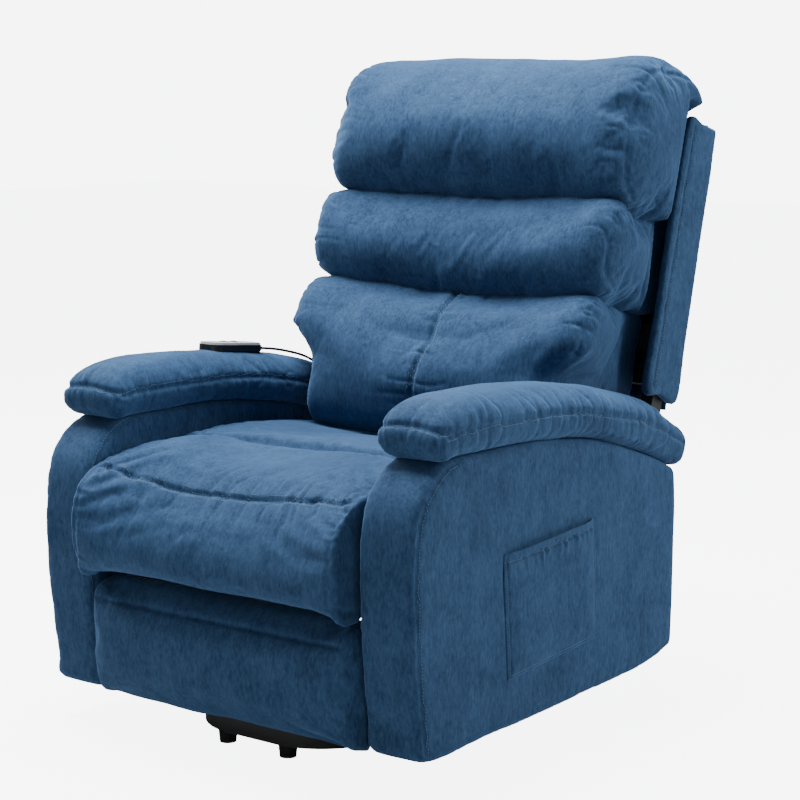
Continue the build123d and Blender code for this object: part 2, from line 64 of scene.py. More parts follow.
# %% Sizes from the frame
SOFT_NODES = ["seat_cushion", "footrest_cushion", "arm_cover_left", "arm_pad_left", "side_pocket_left",
              "head_cushion", "middle_cushion", "lumbar_cushion", "back_wing_left", "rear_cover"]
BACK_LEAN = math.radians(16)
joints = {joint["name"]: joint for joint in frame["joints"]}
HINGE_Y, HINGE_Z = joints["recline"]["pos_m"][1:]


def lean(w, u):
    """Back coordinates to the chair's y and z, at rest."""
    y = HINGE_Y + w * math.cos(BACK_LEAN) + u * math.sin(BACK_LEAN)
    z = HINGE_Z - w * math.sin(BACK_LEAN) + u * math.cos(BACK_LEAN)
    return (y, z)


for name in SOFT_NODES:
    low_corner, high_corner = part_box(name)
    print(name, [round(c, 3) for c in (*low_corner, *high_corner)])
print("recline hinge", HINGE_Y, HINGE_Z)

# %% [markdown]
# ## Camera, floor and light
# A camera is easiest to place with three facts: the point it looks at, the direction it looks from, and
# its lens. The chair is seen from its front left, a little above the seat. Most of the light is a soft
# panel overhead, so the tops of the cushions are pale and their fronts darker. A window on each side
# shows their roundness. The floor and the backdrop glow for the camera only: they look white without
# lighting the chair from below.

# %% Camera
CAMERA_TURN = math.radians(37.9)
CAMERA_RISE = math.radians(8.5)
CAMERA_DISTANCE = 3.764
CAMERA_TARGET = Vector((0.003, -0.008, 0.537))
LENS_MM = 96.8

towards_camera = Vector((
    math.sin(CAMERA_TURN) * math.cos(CAMERA_RISE),
    -math.cos(CAMERA_TURN) * math.cos(CAMERA_RISE),
    math.sin(CAMERA_RISE),
))
camera_data = bpy.data.cameras.new("camera")
camera_data.lens = LENS_MM
camera_data.clip_end = 30
camera = bpy.data.objects.new("camera", camera_data)
camera.location = CAMERA_TARGET + towards_camera * CAMERA_DISTANCE
camera.rotation_euler = (-towards_camera).to_track_quat("-Z", "Y").to_euler()
bpy.context.scene.collection.objects.link(camera)
bpy.context.scene.camera = camera
print("camera at", [round(c, 2) for c in camera.location])

# %% Floor and lights
def link_object(name, data):
    thing = bpy.data.objects.new(name, data)
    bpy.context.scene.collection.objects.link(thing)
    return thing


def add_mesh(name, vertices, faces):
    mesh = bpy.data.meshes.new(name)
    mesh.from_pydata([tuple(v) for v in vertices], [], [tuple(f) for f in faces])
    mesh.update()
    return link_object(name, mesh)


FLOOR_HALF = 14.0
FLOOR_GLOW = 6.6
SKY_LIGHT = 0.17
BACKDROP_GLOW = 7.0
floor = add_mesh("floor", [(-FLOOR_HALF, -FLOOR_HALF, 0), (FLOOR_HALF, -FLOOR_HALF, 0),
                           (FLOOR_HALF, FLOOR_HALF, 0), (-FLOOR_HALF, FLOOR_HALF, 0)], [(0, 1, 2, 3)])
floor_finish = bpy.data.materials.new("pale_floor")
floor_finish.use_nodes = True
floor_shader = floor_finish.node_tree.nodes["Principled BSDF"]
floor_shader.inputs["Base Color"].default_value = (0.55, 0.55, 0.55, 1)
floor_shader.inputs["Roughness"].default_value = 0.9
floor_shader.inputs["Emission Color"].default_value = (0.97, 0.98, 1.0, 1)
floor_view = floor_finish.node_tree.nodes.new("ShaderNodeLightPath")
floor_glow = floor_finish.node_tree.nodes.new("ShaderNodeMath")
floor_glow.operation = "MULTIPLY"
floor_glow.inputs[1].default_value = FLOOR_GLOW
floor_finish.node_tree.links.new(floor_view.outputs["Is Camera Ray"], floor_glow.inputs[0])
floor_finish.node_tree.links.new(floor_glow.outputs[0], floor_shader.inputs["Emission Strength"])
floor.data.materials.append(floor_finish)

world = bpy.data.worlds.new("studio")
world.use_nodes = True
sky = world.node_tree.nodes["Background"]
sky.inputs["Color"].default_value = (0.93, 0.95, 1.0, 1)
sky.inputs["Strength"].default_value = SKY_LIGHT
backdrop = world.node_tree.nodes.new("ShaderNodeBackground")
backdrop.inputs["Color"].default_value = (0.98, 0.99, 1.0, 1)
backdrop.inputs["Strength"].default_value = BACKDROP_GLOW
seen = world.node_tree.nodes.new("ShaderNodeLightPath")
either = world.node_tree.nodes.new("ShaderNodeMixShader")
world.node_tree.links.new(seen.outputs["Is Camera Ray"], either.inputs["Fac"])
world.node_tree.links.new(sky.outputs["Background"], either.inputs[1])
world.node_tree.links.new(backdrop.outputs["Background"], either.inputs[2])
world.node_tree.links.new(either.outputs["Shader"], world.node_tree.nodes["World Output"].inputs["Surface"])
bpy.context.scene.world = world

LIT_POINT = Vector((0, 0, 0.55))


def softbox(name, place, size, power):
    """A rectangular lamp that faces the middle of the chair."""
    light = bpy.data.lights.new(name, "AREA")
    light.shape = "RECTANGLE"
    light.size, light.size_y = size
    light.energy = power
    lamp = link_object(name, light)
    lamp.location = place
    lamp.rotation_euler = (LIT_POINT - Vector(place)).to_track_quat("-Z", "Y").to_euler()


softbox("sky_panel", (-0.55, -0.05, 3.3), (1.9, 1.9), 240)
softbox("left_window", (-3.3, 0.0, 2.0), (1.8, 1.8), 78)
softbox("front_fill", (0.8, -3.8, 1.3), (2.4, 2.0), 13)
softbox("rim_panel", (2.9, 1.9, 2.0), (1.6, 1.6), 100)

# %% [markdown]
# ## Finishes
# Suede is a short nap that lies in patches: where a hand has brushed it, it looks paler or darker. That
# needs noise at several scales: broad patches, streaks, a fine grain and single fibres. The group below
# mixes them into one mask and gives back a colour, a height and a roughness. The shader stays outside
# the group, so its constants are set on its own sockets.

# %% Nap group
def value_socket(tree, name, value, kind="NodeSocketFloat"):
    tree.interface.new_socket(name, in_out="INPUT", socket_type=kind).default_value = value


def output_socket(tree, name, kind="NodeSocketFloat"):
    tree.interface.new_socket(name, in_out="OUTPUT", socket_type=kind)


def node(tree, kind, **settings):
    made = tree.nodes.new(kind)
    for name, value in settings.items():
        setattr(made, name, value)
    return made


def math_node(tree, operation, first, second):
    made = node(tree, "ShaderNodeMath", operation=operation)
    for slot, value in enumerate((first, second)):
        if isinstance(value, (int, float)):
            made.inputs[slot].default_value = value
        else:
            tree.links.new(value, made.inputs[slot])
    return made.outputs[0]


def noise_node(tree, vector, scale, detail, roughness=0.55, distortion=0.0):
    made = node(tree, "ShaderNodeTexNoise")
    made.inputs["Scale"].default_value = scale
    made.inputs["Detail"].default_value = detail
    made.inputs["Roughness"].default_value = roughness
    made.inputs["Distortion"].default_value = distortion
    tree.links.new(vector, made.inputs["Vector"])
    return made.outputs["Fac"]


def object_place(tree):
    """Places in metres, so that noise doesn't stretch with a piece's size."""
    return node(tree, "ShaderNodeTexCoord").outputs["Object"]


def stretched(tree, place, scale):
    mapping = node(tree, "ShaderNodeMapping")
    mapping.inputs["Scale"].default_value = scale
    tree.links.new(place, mapping.inputs["Vector"])
    return mapping.outputs["Vector"]


def clamped(tree, value):
    clamp = node(tree, "ShaderNodeClamp")
    tree.links.new(value, clamp.inputs["Value"])
    return clamp.outputs[0]


MIX_FIRST_COLOR = 6
MIX_SECOND_COLOR = 7
MIX_COLOR_RESULT = 2


def color_mix(tree, factor, first, second):
    """The first colour where factor is 0 and the second where it is 1; each is a value or a socket."""
    mix = node(tree, "ShaderNodeMix", data_type="RGBA")
    tree.links.new(factor, mix.inputs["Factor"])
    for slot, color in ((MIX_FIRST_COLOR, first), (MIX_SECOND_COLOR, second)):
        if isinstance(color, tuple):
            mix.inputs[slot].default_value = (*color, 1)
        else:
            tree.links.new(color, mix.inputs[slot])
    return mix.outputs[MIX_COLOR_RESULT]


def add_bump(tree, shader, height, strength, distance):
    bump = node(tree, "ShaderNodeBump")
    bump.inputs["Strength"].default_value = strength
    bump.inputs["Distance"].default_value = distance
    tree.links.new(height, bump.inputs["Height"])
    tree.links.new(bump.outputs["Normal"], shader.inputs["Normal"])


def scaled(tree, value, gain, offset):
    return math_node(tree, "ADD", math_node(tree, "MULTIPLY", value, gain), offset)


def build_nap_group():
    tree = bpy.data.node_groups.new("suede_nap", "ShaderNodeTree")
    value_socket(tree, "Pile", (0.05, 0.12, 0.22, 1), "NodeSocketColor")
    value_socket(tree, "Brushed", (0.1, 0.2, 0.34, 1), "NodeSocketColor")
    value_socket(tree, "Patchiness", 1.0)
    output_socket(tree, "Colour", "NodeSocketColor")
    output_socket(tree, "Fibre Height")
    output_socket(tree, "Roughness")
    inside = node(tree, "NodeGroupInput")
    outside = node(tree, "NodeGroupOutput")
    place = object_place(tree)
    brushed_down = stretched(tree, place, (1.0, 1.0, 0.38))
    patches = noise_node(tree, place, 9.0, 4.0, 0.6, 0.5)
    streaks = noise_node(tree, brushed_down, 52.0, 4.0, 0.7, 0.3)
    grain = noise_node(tree, brushed_down, 210.0, 3.0, 0.75)
    fibre = noise_node(tree, place, 1500.0, 2.0, 0.7)

    mixed = math_node(tree, "MULTIPLY", patches, 0.26)
    mixed = math_node(tree, "ADD", mixed, math_node(tree, "MULTIPLY", streaks, 0.34))
    mixed = math_node(tree, "ADD", mixed, math_node(tree, "MULTIPLY", grain, 0.55))
    centred = math_node(tree, "SUBTRACT", mixed, 0.575)
    spread = math_node(tree, "MULTIPLY", centred, inside.outputs["Patchiness"])
    mask = clamped(tree, scaled(tree, spread, 2.9, 0.44))
    nap_color = color_mix(tree, mask, inside.outputs["Pile"], inside.outputs["Brushed"])
    tree.links.new(nap_color, outside.inputs["Colour"])

    height = math_node(tree, "ADD", math_node(tree, "MULTIPLY", fibre, 0.6),
                       math_node(tree, "MULTIPLY", grain, 0.9))
    tree.links.new(height, outside.inputs["Fibre Height"])
    tree.links.new(scaled(tree, mask, -0.14, 0.93), outside.inputs["Roughness"])
    return tree


NAP_GROUP = build_nap_group()
print("nap group sockets", [s.name for s in NAP_GROUP.interface.items_tree])


# %% Suede and thread
def new_finish(name, color, roughness, metallic=0.0, **constants):
    """A material whose Principled shader has these constants on its own sockets."""
    finish = bpy.data.materials.new(name)
    finish.use_nodes = True
    shader = finish.node_tree.nodes["Principled BSDF"]
    shader.inputs["Base Color"].default_value = (*color, 1)
    shader.inputs["Roughness"].default_value = roughness
    shader.inputs["Metallic"].default_value = metallic
    for socket, value in constants.items():
        shader.inputs[socket.replace("_", " ")].default_value = value
    return finish, finish.node_tree, shader


def suede(name, pile, brushed, patchiness):
    finish, tree, shader = new_finish(name, pile, 0.9, Sheen_Weight=0.38, Sheen_Roughness=0.40,
                                      Specular_IOR_Level=0.2)
    shader.inputs["Sheen Tint"].default_value = (0.24, 0.52, 1.0, 1)
    nap = node(tree, "ShaderNodeGroup", node_tree=NAP_GROUP)
    nap.inputs["Pile"].default_value = (*pile, 1)
    nap.inputs["Brushed"].default_value = (*brushed, 1)
    nap.inputs["Patchiness"].default_value = patchiness
    tree.links.new(nap.outputs["Colour"], shader.inputs["Base Color"])
    tree.links.new(nap.outputs["Roughness"], shader.inputs["Roughness"])
    add_bump(tree, shader, nap.outputs["Fibre Height"], 0.35, 0.0008)
    return finish


BLUE_PILE = (0.009, 0.031, 0.078)
BLUE_BRUSHED = (0.037, 0.093, 0.196)
blue_suede = suede("blue_suede", BLUE_PILE, BLUE_BRUSHED, 1.0)


def thread_finish():
    finish, tree, shader = new_finish("blue_thread", (0.07, 0.14, 0.23), 0.7, Sheen_Weight=0.1)
    twist = noise_node(tree, object_place(tree), 900.0, 2.0)
    add_bump(tree, shader, twist, 0.5, 0.0003)
    twisted = color_mix(tree, twist, (0.045, 0.095, 0.165), (0.115, 0.200, 0.310))
    tree.links.new(twisted, shader.inputs["Base Color"])
    return finish


blue_thread = thread_finish()
print("cloth finishes", blue_suede.name, blue_thread.name)

# %% [markdown]
# ## Handset cord
# The cord is a round flexible lead. It leaves the handset's gland, crosses the arm pad and goes down the
# gap beside the lumbar cushion to the control box under the seat. A NURBS curve through listed
# control points gives it one smooth line, and a round bevel gives it its thickness.

# %% Cord
def lead_finish():
    finish, tree, shader = new_finish("cord_jacket", (0.012, 0.012, 0.013), 0.42)
    scuffs = noise_node(tree, object_place(tree), 240.0, 3.0)
    tree.links.new(scaled(tree, scuffs, 0.25, 0.32), shader.inputs["Roughness"])
    rubbed = color_mix(tree, scuffs, (0.008, 0.008, 0.009), (0.024, 0.023, 0.023))
    tree.links.new(rubbed, shader.inputs["Base Color"])
    return finish


CORD_RADIUS = 0.0025
CORD_ROUTE = [
    (-0.3400, 0.0151, 0.6000),
    (-0.3394, 0.0410, 0.5972),
    (-0.3280, 0.0700, 0.5910),
    (-0.3020, 0.0930, 0.5820),
    (-0.2790, 0.1070, 0.5660),
    (-0.2682, 0.1160, 0.5370),
    (-0.2680, 0.1240, 0.4960),
    (-0.2750, 0.1330, 0.4550),
    (-0.2814, 0.1380, 0.4110),
    (-0.2816, 0.1400, 0.3620),
    (-0.2800, 0.1350, 0.3180),
    (-0.2770, 0.1120, 0.2810),
    (-0.2760, 0.0720, 0.2620),
    (-0.2754, 0.0220, 0.2550),
    (-0.2746, -0.0300, 0.2490),
    (-0.2740, -0.0760, 0.2360),
    (-0.2660, -0.1060, 0.2170),
    (-0.2380, -0.1180, 0.2070),
    (-0.2040, -0.1140, 0.2080),
    (-0.1760, -0.1100, 0.2240),
    (-0.1560, -0.1140, 0.2430),
    (-0.1500, -0.1270, 0.2580),
    (-0.1500, -0.1450, 0.2640),
]
cord_curve = bpy.data.curves.new("handset_lead", "CURVE")
cord_curve.dimensions = "3D"
spline = cord_curve.splines.new("NURBS")
spline.points.add(len(CORD_ROUTE) - 1)
for point, place in zip(spline.points, CORD_ROUTE):
    point.co = (*place, 1)
spline.order_u = 3
spline.use_endpoint_u = True
spline.resolution_u = 8
cord_curve.bevel_depth = CORD_RADIUS
cord_curve.bevel_resolution = 4
cord_curve.use_fill_caps = True
cord = link_object("handset_lead", cord_curve)
cord_curve.materials.append(lead_finish())
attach(cord, "chassis")
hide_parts("handset_cord")
print("cord points", len(CORD_ROUTE))

# %% [markdown]
# ## Tools for soft pieces
# A cushion starts as a closed surface swept from side-view outlines. Voxel remeshing gives it even
# squares, cloth under a little air pressure swells it as stuffing does, and small folds are pressed in
# along its seams. Noise that repeats on every run comes from a table of random numbers with a fixed seed.

# %% Repeatable noise
LATTICE = 32
noise_table = np.random.RandomState(7).uniform(-1, 1, (LATTICE, LATTICE, LATTICE))


def soft_noise(points, scale, shift=0.0):
    """Smooth noise from -1 to 1 at points (n, 3); scale is the size of one lump in metres."""
    p = np.asarray(points, float) / scale + 100.0 + shift
    cell = np.floor(p).astype(int)
    t = p - cell
    t = t * t * (3 - 2 * t)
    total = 0
    for corner in np.ndindex(2, 2, 2):
        weight = 1
        for axis in range(3):
            weight = weight * (t[:, axis] if corner[axis] else 1 - t[:, axis])
        index = [(cell[:, axis] + corner[axis]) % LATTICE for axis in range(3)]
        total = total + weight * noise_table[index[0], index[1], index[2]]
    return total


print("noise sample", round(float(soft_noise([(0.1, 0.2, 0.3)], 0.05)[0]), 4))


# %% Outlines and lofts
def closed_curve(points, count):
    """A smooth closed outline through (a, b) points, as count evenly spaced samples."""
    p = np.array(points, float)
    n = len(p)
    fine = []
    for i in range(n):
        a, b, c, d = p[i - 1], p[i], p[(i + 1) % n], p[(i + 2) % n]
        for t in np.linspace(0, 1, 24, endpoint=False):
            fine.append(0.5 * (2 * b + (c - a) * t + (2 * a - 5 * b + 4 * c - d) * t ** 2
                               + (3 * b - 3 * c + d - a) * t ** 3))
    fine = np.array(fine + [fine[0]])
    run = np.concatenate(([0], np.cumsum(np.linalg.norm(np.diff(fine, axis=0), axis=1))))
    wanted = np.linspace(0, run[-1], count, endpoint=False)
    return np.stack([np.interp(wanted, run, fine[:, k]) for k in (0, 1)], axis=1)


def shrunk(outline, amount):
    """The outline moved inwards by amount, along its own normals."""
    ahead = np.roll(outline, -1, axis=0)
    behind = np.roll(outline, 1, axis=0)
    along = ahead - behind
    along /= np.linalg.norm(along, axis=1)[:, None] + 1e-12
    area = np.sum(outline[:, 0] * ahead[:, 1] - ahead[:, 0] * outline[:, 1])
    inward = np.stack([-along[:, 1], along[:, 0]], axis=1) * (1 if area > 0 else -1)
    return outline + inward * amount


def loft(name, sections):
    """A closed mesh through rings; sections is a list of (x, ring of (y, z))."""
    count = len(sections[0][1])
    vertices = [(x, y, z) for x, ring in sections for y, z in ring]
    faces = []
    for i in range(len(sections) - 1):
        for j in range(count):
            k = (j + 1) % count
            faces.append((i * count + j, i * count + k, (i + 1) * count + k, (i + 1) * count + j))
    for i, (x, ring) in ((0, sections[0]), (len(sections) - 1, sections[-1])):
        middle = ring.mean(axis=0)
        hub = len(vertices)
        vertices.append((x, middle[0], middle[1]))
        faces += [(i * count + j, i * count + (j + 1) % count, hub) for j in range(count)]
    thing = add_mesh(name, vertices, faces)
    tool = bmesh.new()
    tool.from_mesh(thing.data)
    bmesh.ops.recalc_face_normals(tool, faces=tool.faces)
    tool.to_mesh(thing.data)
    tool.free()
    return thing


def rounded_sections(outline_at, low, high, edge, steps=7, straight=12):
    """Stations from low to high in x, with the outline drawn in round both ends."""
    sections = []
    for i in range(steps):
        t = 1 - i / steps
        inset = edge * (1 - math.sqrt(max(0.0, 1 - t * t)))
        x = low + edge * (1 - t)
        sections.append((x, shrunk(outline_at(x), inset)))
    for x in np.linspace(low + edge, high - edge, straight):
        sections.append((x, outline_at(x)))
    for i in range(1, steps + 1):
        t = i / steps
        inset = edge * (1 - math.sqrt(max(0.0, 1 - t * t)))
        x = high - edge * (1 - t)
        sections.append((x, shrunk(outline_at(x), inset)))
    return sections


print("outline and loft tools ready")


# %% Remesh, swell and read meshes
def coordinates(thing):
    flat = np.empty(len(thing.data.vertices) * 3)
    thing.data.vertices.foreach_get("co", flat)
    return flat.reshape(-1, 3)


def set_coordinates(thing, points):
    thing.data.vertices.foreach_set("co", np.asarray(points, float).ravel())
    thing.data.update()


def normals(thing):
    flat = np.empty(len(thing.data.vertices) * 3)
    thing.data.vertex_normals.foreach_get("vector", flat)
    return flat.reshape(-1, 3)


def apply_modifiers(thing):
    """Turns the modified shape into a plain mesh with no modifier left."""
    graph = bpy.context.evaluated_depsgraph_get()
    mesh = bpy.data.meshes.new_from_object(thing.evaluated_get(graph))
    thing.modifiers.clear()
    old = thing.data
    thing.data = mesh
    bpy.data.meshes.remove(old)
    mesh.name = thing.name


def remesh(thing, voxel):
    tool = thing.modifiers.new("even", "REMESH")
    tool.mode = "VOXEL"
    tool.voxel_size = voxel
    apply_modifiers(thing)


LAST_CLOTH_FRAME = 20
GRIP_LEVELS = (0.25, 0.5, 0.75, 1.0)


def swell(thing, cap, held, pressure):
    """Cloth under air pressure. held(points) gives 1 where it can't move; cap is the furthest any moves."""
    before = coordinates(thing)
    grip = np.clip(held(before), 0, 1)
    group = thing.vertex_groups.new(name="held")
    for level in GRIP_LEVELS:
        chosen = np.nonzero(grip > level - GRIP_LEVELS[0] / 2)[0]
        group.add(chosen.tolist(), level, "REPLACE")
    tool = thing.modifiers.new("stuffing", "CLOTH")
    tool.settings.use_pressure = True
    tool.settings.uniform_pressure_force = pressure
    tool.settings.effector_weights.gravity = 0
    tool.settings.vertex_group_mass = "held"
    tool.settings.quality = 4
    tool.settings.mass = 0.3
    tool.settings.tension_stiffness = 12
    tool.settings.compression_stiffness = 12
    tool.settings.bending_stiffness = 0.6
    tool.collision_settings.use_collision = False
    tool.point_cache.frame_start = 1
    tool.point_cache.frame_end = LAST_CLOTH_FRAME
    for frame_number in range(1, LAST_CLOTH_FRAME + 1):
        bpy.context.scene.frame_set(frame_number)
    apply_modifiers(thing)
    bpy.context.scene.frame_set(1)
    thing.vertex_groups.clear()
    move = coordinates(thing) - before
    length = np.linalg.norm(move, axis=1)
    scale = np.minimum(1, cap / np.maximum(length, 1e-9))
    set_coordinates(thing, before + move * scale[:, None])
    print(thing.name, "swelled", round(float(length.mean() * 1000), 1), "mm on average")


def subdivide(thing):
    tool = thing.modifiers.new("smooth", "SUBSURF")
    tool.levels = 1
    tool.render_levels = 1
    apply_modifiers(thing)


def finish_cloth(thing, body, replaced):
    """Suede on the piece, the body it rides on, and the plain CAD solid that it stands for."""
    for face in thing.data.polygons:
        face.use_smooth = True
    thing.data.materials.clear()
    thing.data.materials.append(blue_suede)
    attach(thing, body)
    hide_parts(replaced)


def mirrored_copy(thing, name):
    """The same piece on the chair's other side."""
    mesh = thing.data.copy()
    twin = link_object(name, mesh)
    points = coordinates(twin)
    points[:, 0] *= -1
    set_coordinates(twin, points)
    mesh.flip_normals()
    mesh.name = name
    return twin


def mirrored_thread(name, body):
    """The right-hand copy of a row of stitches that was sewn on the left."""
    twin = mirrored_copy(bpy.data.objects[name + "_left"], name + "_right")
    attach(twin, body)


print("soft piece tools ready")

# %% [markdown]
# ## Seams
# Where two panels are sewn, the cloth is drawn in: a narrow valley, with short folds that run away from
# it on both sides. The valley and the folds are pressed into the mesh as real shape. Each row of thread
# is then made by Geometry Nodes: a small stitch on every few millimetres of a line that lies on the cloth.

# %% Pressing seams
ROWS_AT_ONCE = 4000
SEAM_REACH = 0.16


def along_path(points, path):
    """For each point, its distance from the path and how far along the path its nearest place is."""
    path = np.asarray(path, float)
    start = path[:-1]
    step = path[1:] - start
    length = np.linalg.norm(step, axis=1)
    run = np.concatenate(([0], np.cumsum(length)))[:-1]
    best = np.full(len(points), 1e9)
    best_run = np.zeros(len(points))
    low = path.min(axis=0) - SEAM_REACH
    high = path.max(axis=0) + SEAM_REACH
    near = np.nonzero(np.all((points > low) & (points < high), axis=1))[0]
    for first in range(0, len(near), ROWS_AT_ONCE):
        rows = near[first:first + ROWS_AT_ONCE]
        offset = points[rows][:, None, :] - start[None]
        t = np.clip((offset * step[None]).sum(2) / (length ** 2 + 1e-12)[None], 0, 1)
        gap = np.linalg.norm(offset - t[..., None] * step[None], axis=2)
        which = gap.argmin(axis=1)
        picked = np.arange(len(rows))
        best[rows] = gap[picked, which]
        best_run[rows] = run[which] + t[picked, which] * length[which]
    return best, best_run


def press_seam(thing, path, seed, depth, width, fold, reach, spacing):
    """Pulls a valley of this depth and width into the cloth, with folds that fade out over reach."""
    points = coordinates(thing)
    facing = normals(thing)
    gap, run = along_path(points, path)
    near = gap < reach * 4
    p = points[near]
    d = gap[near]
    s = run[near]
    lean_along = soft_noise(p, 0.09, seed + 3) * 0.02
    trace = np.stack([s + lean_along + 0.25 * d * soft_noise(p, 0.2, seed), d * 0.25, 0 * s], axis=1)
    ripple = soft_noise(trace, spacing, seed)
    crease = np.clip(1 - np.abs(ripple) * 2.6, 0, 1) ** 1.5
    plump = np.clip(ripple, 0, 1) * 0.5
    along = np.stack([s, 0 * s, 0 * s], axis=1)
    reach_here = reach * (0.55 + 0.9 * np.abs(soft_noise(along, 0.03, seed + 9)))
    fade = np.exp(-(d / reach_here) ** 1.3) * (1 - 0.6 * np.exp(-(d / 0.003) ** 2))
    push = -depth * np.exp(-(d / width) ** 2) - fold * (crease - plump) * fade
    points[near] += facing[near] * push[:, None]
    set_coordinates(thing, points)


def rumple(thing, amount, size, seed):
    """Broad soft lumps, and smaller ones on top of them."""
    points = coordinates(thing)
    facing = normals(thing)
    lumps = soft_noise(points, size, seed) + 0.45 * soft_noise(points, size * 0.42, seed + 5)
    set_coordinates(thing, points + facing * (amount * lumps)[:, None])


def surface_of(thing):
    mesh = thing.data
    mesh.calc_loop_triangles()
    triangles = [tuple(t.vertices) for t in mesh.loop_triangles]
    return BVHTree.FromPolygons([tuple(v) for v in coordinates(thing)], triangles)


def cast(tree, starts, direction):
    """Where rays from starts first meet the cloth; misses are left out."""
    hits = []
    for start in starts:
        place = tree.ray_cast(Vector(start), Vector(direction))[0]
        if place is not None:
            hits.append(tuple(place))
    return np.array(hits)


def laid_on(tree, path, lift):
    """The path moved onto the cloth's surface, lift above it."""
    laid = []
    for point in path:
        place, normal, _, _ = tree.find_nearest(Vector(point))
        laid.append(tuple(place + normal * lift))
    return np.array(laid)


def beside(tree, path, offset):
    """The path shifted sideways along the surface by offset."""
    path = np.asarray(path, float)
    shifted = []
    for i, point in enumerate(path):
        ahead = path[min(i + 1, len(path) - 1)] - path[max(i - 1, 0)]
        place, normal, _, _ = tree.find_nearest(Vector(point))
        side = Vector(ahead).cross(normal)
        if side.length > 1e-9:
            side.normalize()
        shifted.append(tuple(place + side * offset))
    return np.array(shifted)


PATH_STEP = 0.006


def resampled(path):
    """The same path as evenly spaced points, about a path step apart."""
    path = np.asarray(path, float)
    run = np.concatenate(([0], np.cumsum(np.linalg.norm(np.diff(path, axis=0), axis=1))))
    wanted = np.linspace(0, run[-1], max(3, int(run[-1] / PATH_STEP)))
    return np.stack([np.interp(wanted, run, path[:, k]) for k in range(3)], axis=1)


print("seam tools ready")


# %% Stitches with Geometry Nodes
def stitch_shape():
    """One small stitch along X: a five-sided thread with drawn-in ends."""
    rings = [(-0.5, 0.25), (-0.32, 0.8), (0.0, 1.0), (0.32, 0.8), (0.5, 0.25)]
    sides = 5
    vertices = []
    for x, scale in rings:
        for k in range(sides):
            angle = 2 * math.pi * k / sides
            vertices.append((x, 0.5 * scale * math.cos(angle), 0.5 * scale * math.sin(angle)))
    faces = []
    for i in range(len(rings) - 1):
        for k in range(sides):
            j = (k + 1) % sides
            faces.append((i * sides + k, i * sides + j, (i + 1) * sides + j, (i + 1) * sides + k))
    faces.append(tuple(reversed(range(sides))))
    faces.append(tuple((len(rings) - 1) * sides + k for k in range(sides)))
    return add_mesh("stitch_shape", vertices, faces)


STITCH_PITCH = 0.0055
STITCH_SHARE = 0.74
THREAD = 0.0010


def stitch_tree(shape):
    tree = bpy.data.node_groups.new("topstitch", "GeometryNodeTree")
    tree.interface.new_socket("Geometry", in_out="INPUT", socket_type="NodeSocketGeometry")
    value_socket(tree, "Pitch", STITCH_PITCH)
    value_socket(tree, "Stitch Length", STITCH_PITCH * STITCH_SHARE)
    value_socket(tree, "Thread", THREAD)
    tree.interface.new_socket("Thread Finish", in_out="INPUT", socket_type="NodeSocketMaterial")
    output_socket(tree, "Geometry", "NodeSocketGeometry")
    inside = node(tree, "NodeGroupInput")
    outside = node(tree, "NodeGroupOutput")
    spaced = node(tree, "GeometryNodeCurveToPoints", mode="LENGTH")
    tree.links.new(inside.outputs["Geometry"], spaced.inputs["Curve"])
    tree.links.new(inside.outputs["Pitch"], spaced.inputs["Length"])
    info = node(tree, "GeometryNodeObjectInfo")
    info.inputs["Object"].default_value = shape
    turn = node(tree, "FunctionNodeAlignEulerToVector", axis="X")
    tree.links.new(spaced.outputs["Tangent"], turn.inputs["Vector"])
    size = node(tree, "ShaderNodeCombineXYZ")
    tree.links.new(inside.outputs["Stitch Length"], size.inputs["X"])
    tree.links.new(inside.outputs["Thread"], size.inputs["Y"])
    tree.links.new(inside.outputs["Thread"], size.inputs["Z"])
    placed = node(tree, "GeometryNodeInstanceOnPoints")
    tree.links.new(spaced.outputs["Points"], placed.inputs["Points"])
    tree.links.new(info.outputs["Geometry"], placed.inputs["Instance"])
    tree.links.new(turn.outputs["Rotation"], placed.inputs["Rotation"])
    tree.links.new(size.outputs["Vector"], placed.inputs["Scale"])
    real = node(tree, "GeometryNodeRealizeInstances")
    tree.links.new(placed.outputs["Instances"], real.inputs["Geometry"])
    painted = node(tree, "GeometryNodeSetMaterial")
    tree.links.new(real.outputs["Geometry"], painted.inputs["Geometry"])
    tree.links.new(inside.outputs["Thread Finish"], painted.inputs["Material"])
    tree.links.new(painted.outputs["Geometry"], outside.inputs["Geometry"])
    return tree


STITCH = stitch_shape()
STITCH_TREE = stitch_tree(STITCH)


def set_input(tool, name, value):
    """Sets a Geometry Nodes input by its socket's identifier."""
    for socket in tool.node_group.interface.items_tree:
        if socket.item_type == "SOCKET" and socket.in_out == "INPUT" and socket.name == name:
            tool[socket.identifier] = value


def sew(name, paths, body, pitch=STITCH_PITCH):
    """Rows of stitches along paths that lie on the cloth, as one plain mesh."""
    curve = bpy.data.curves.new(name + "_line", "CURVE")
    curve.dimensions = "3D"
    for path in paths:
        line = curve.splines.new("POLY")
        line.points.add(len(path) - 1)
        for point, place in zip(line.points, path):
            point.co = (*[float(c) for c in place], 1)
    row = link_object(name + "_line", curve)
    tool = row.modifiers.new("topstitch", "NODES")
    tool.node_group = STITCH_TREE
    set_input(tool, "Pitch", pitch)
    set_input(tool, "Stitch Length", pitch * STITCH_SHARE)
    set_input(tool, "Thread", THREAD)
    set_input(tool, "Thread Finish", blue_thread)
    graph = bpy.context.evaluated_depsgraph_get()
    mesh = bpy.data.meshes.new_from_object(row.evaluated_get(graph))
    bpy.data.objects.remove(row)
    stitches = link_object(name, mesh)
    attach(stitches, body)
    print(name, "has", len(mesh.polygons) // len(STITCH.data.polygons), "stitches")


# %% A seam with its rows of thread
def side_path(points, x):
    """(y, z) points at one x, as an evenly spaced 3-D path."""
    return resampled([(x, y, z) for y, z in points])


THREAD_LIFT = 0.0003


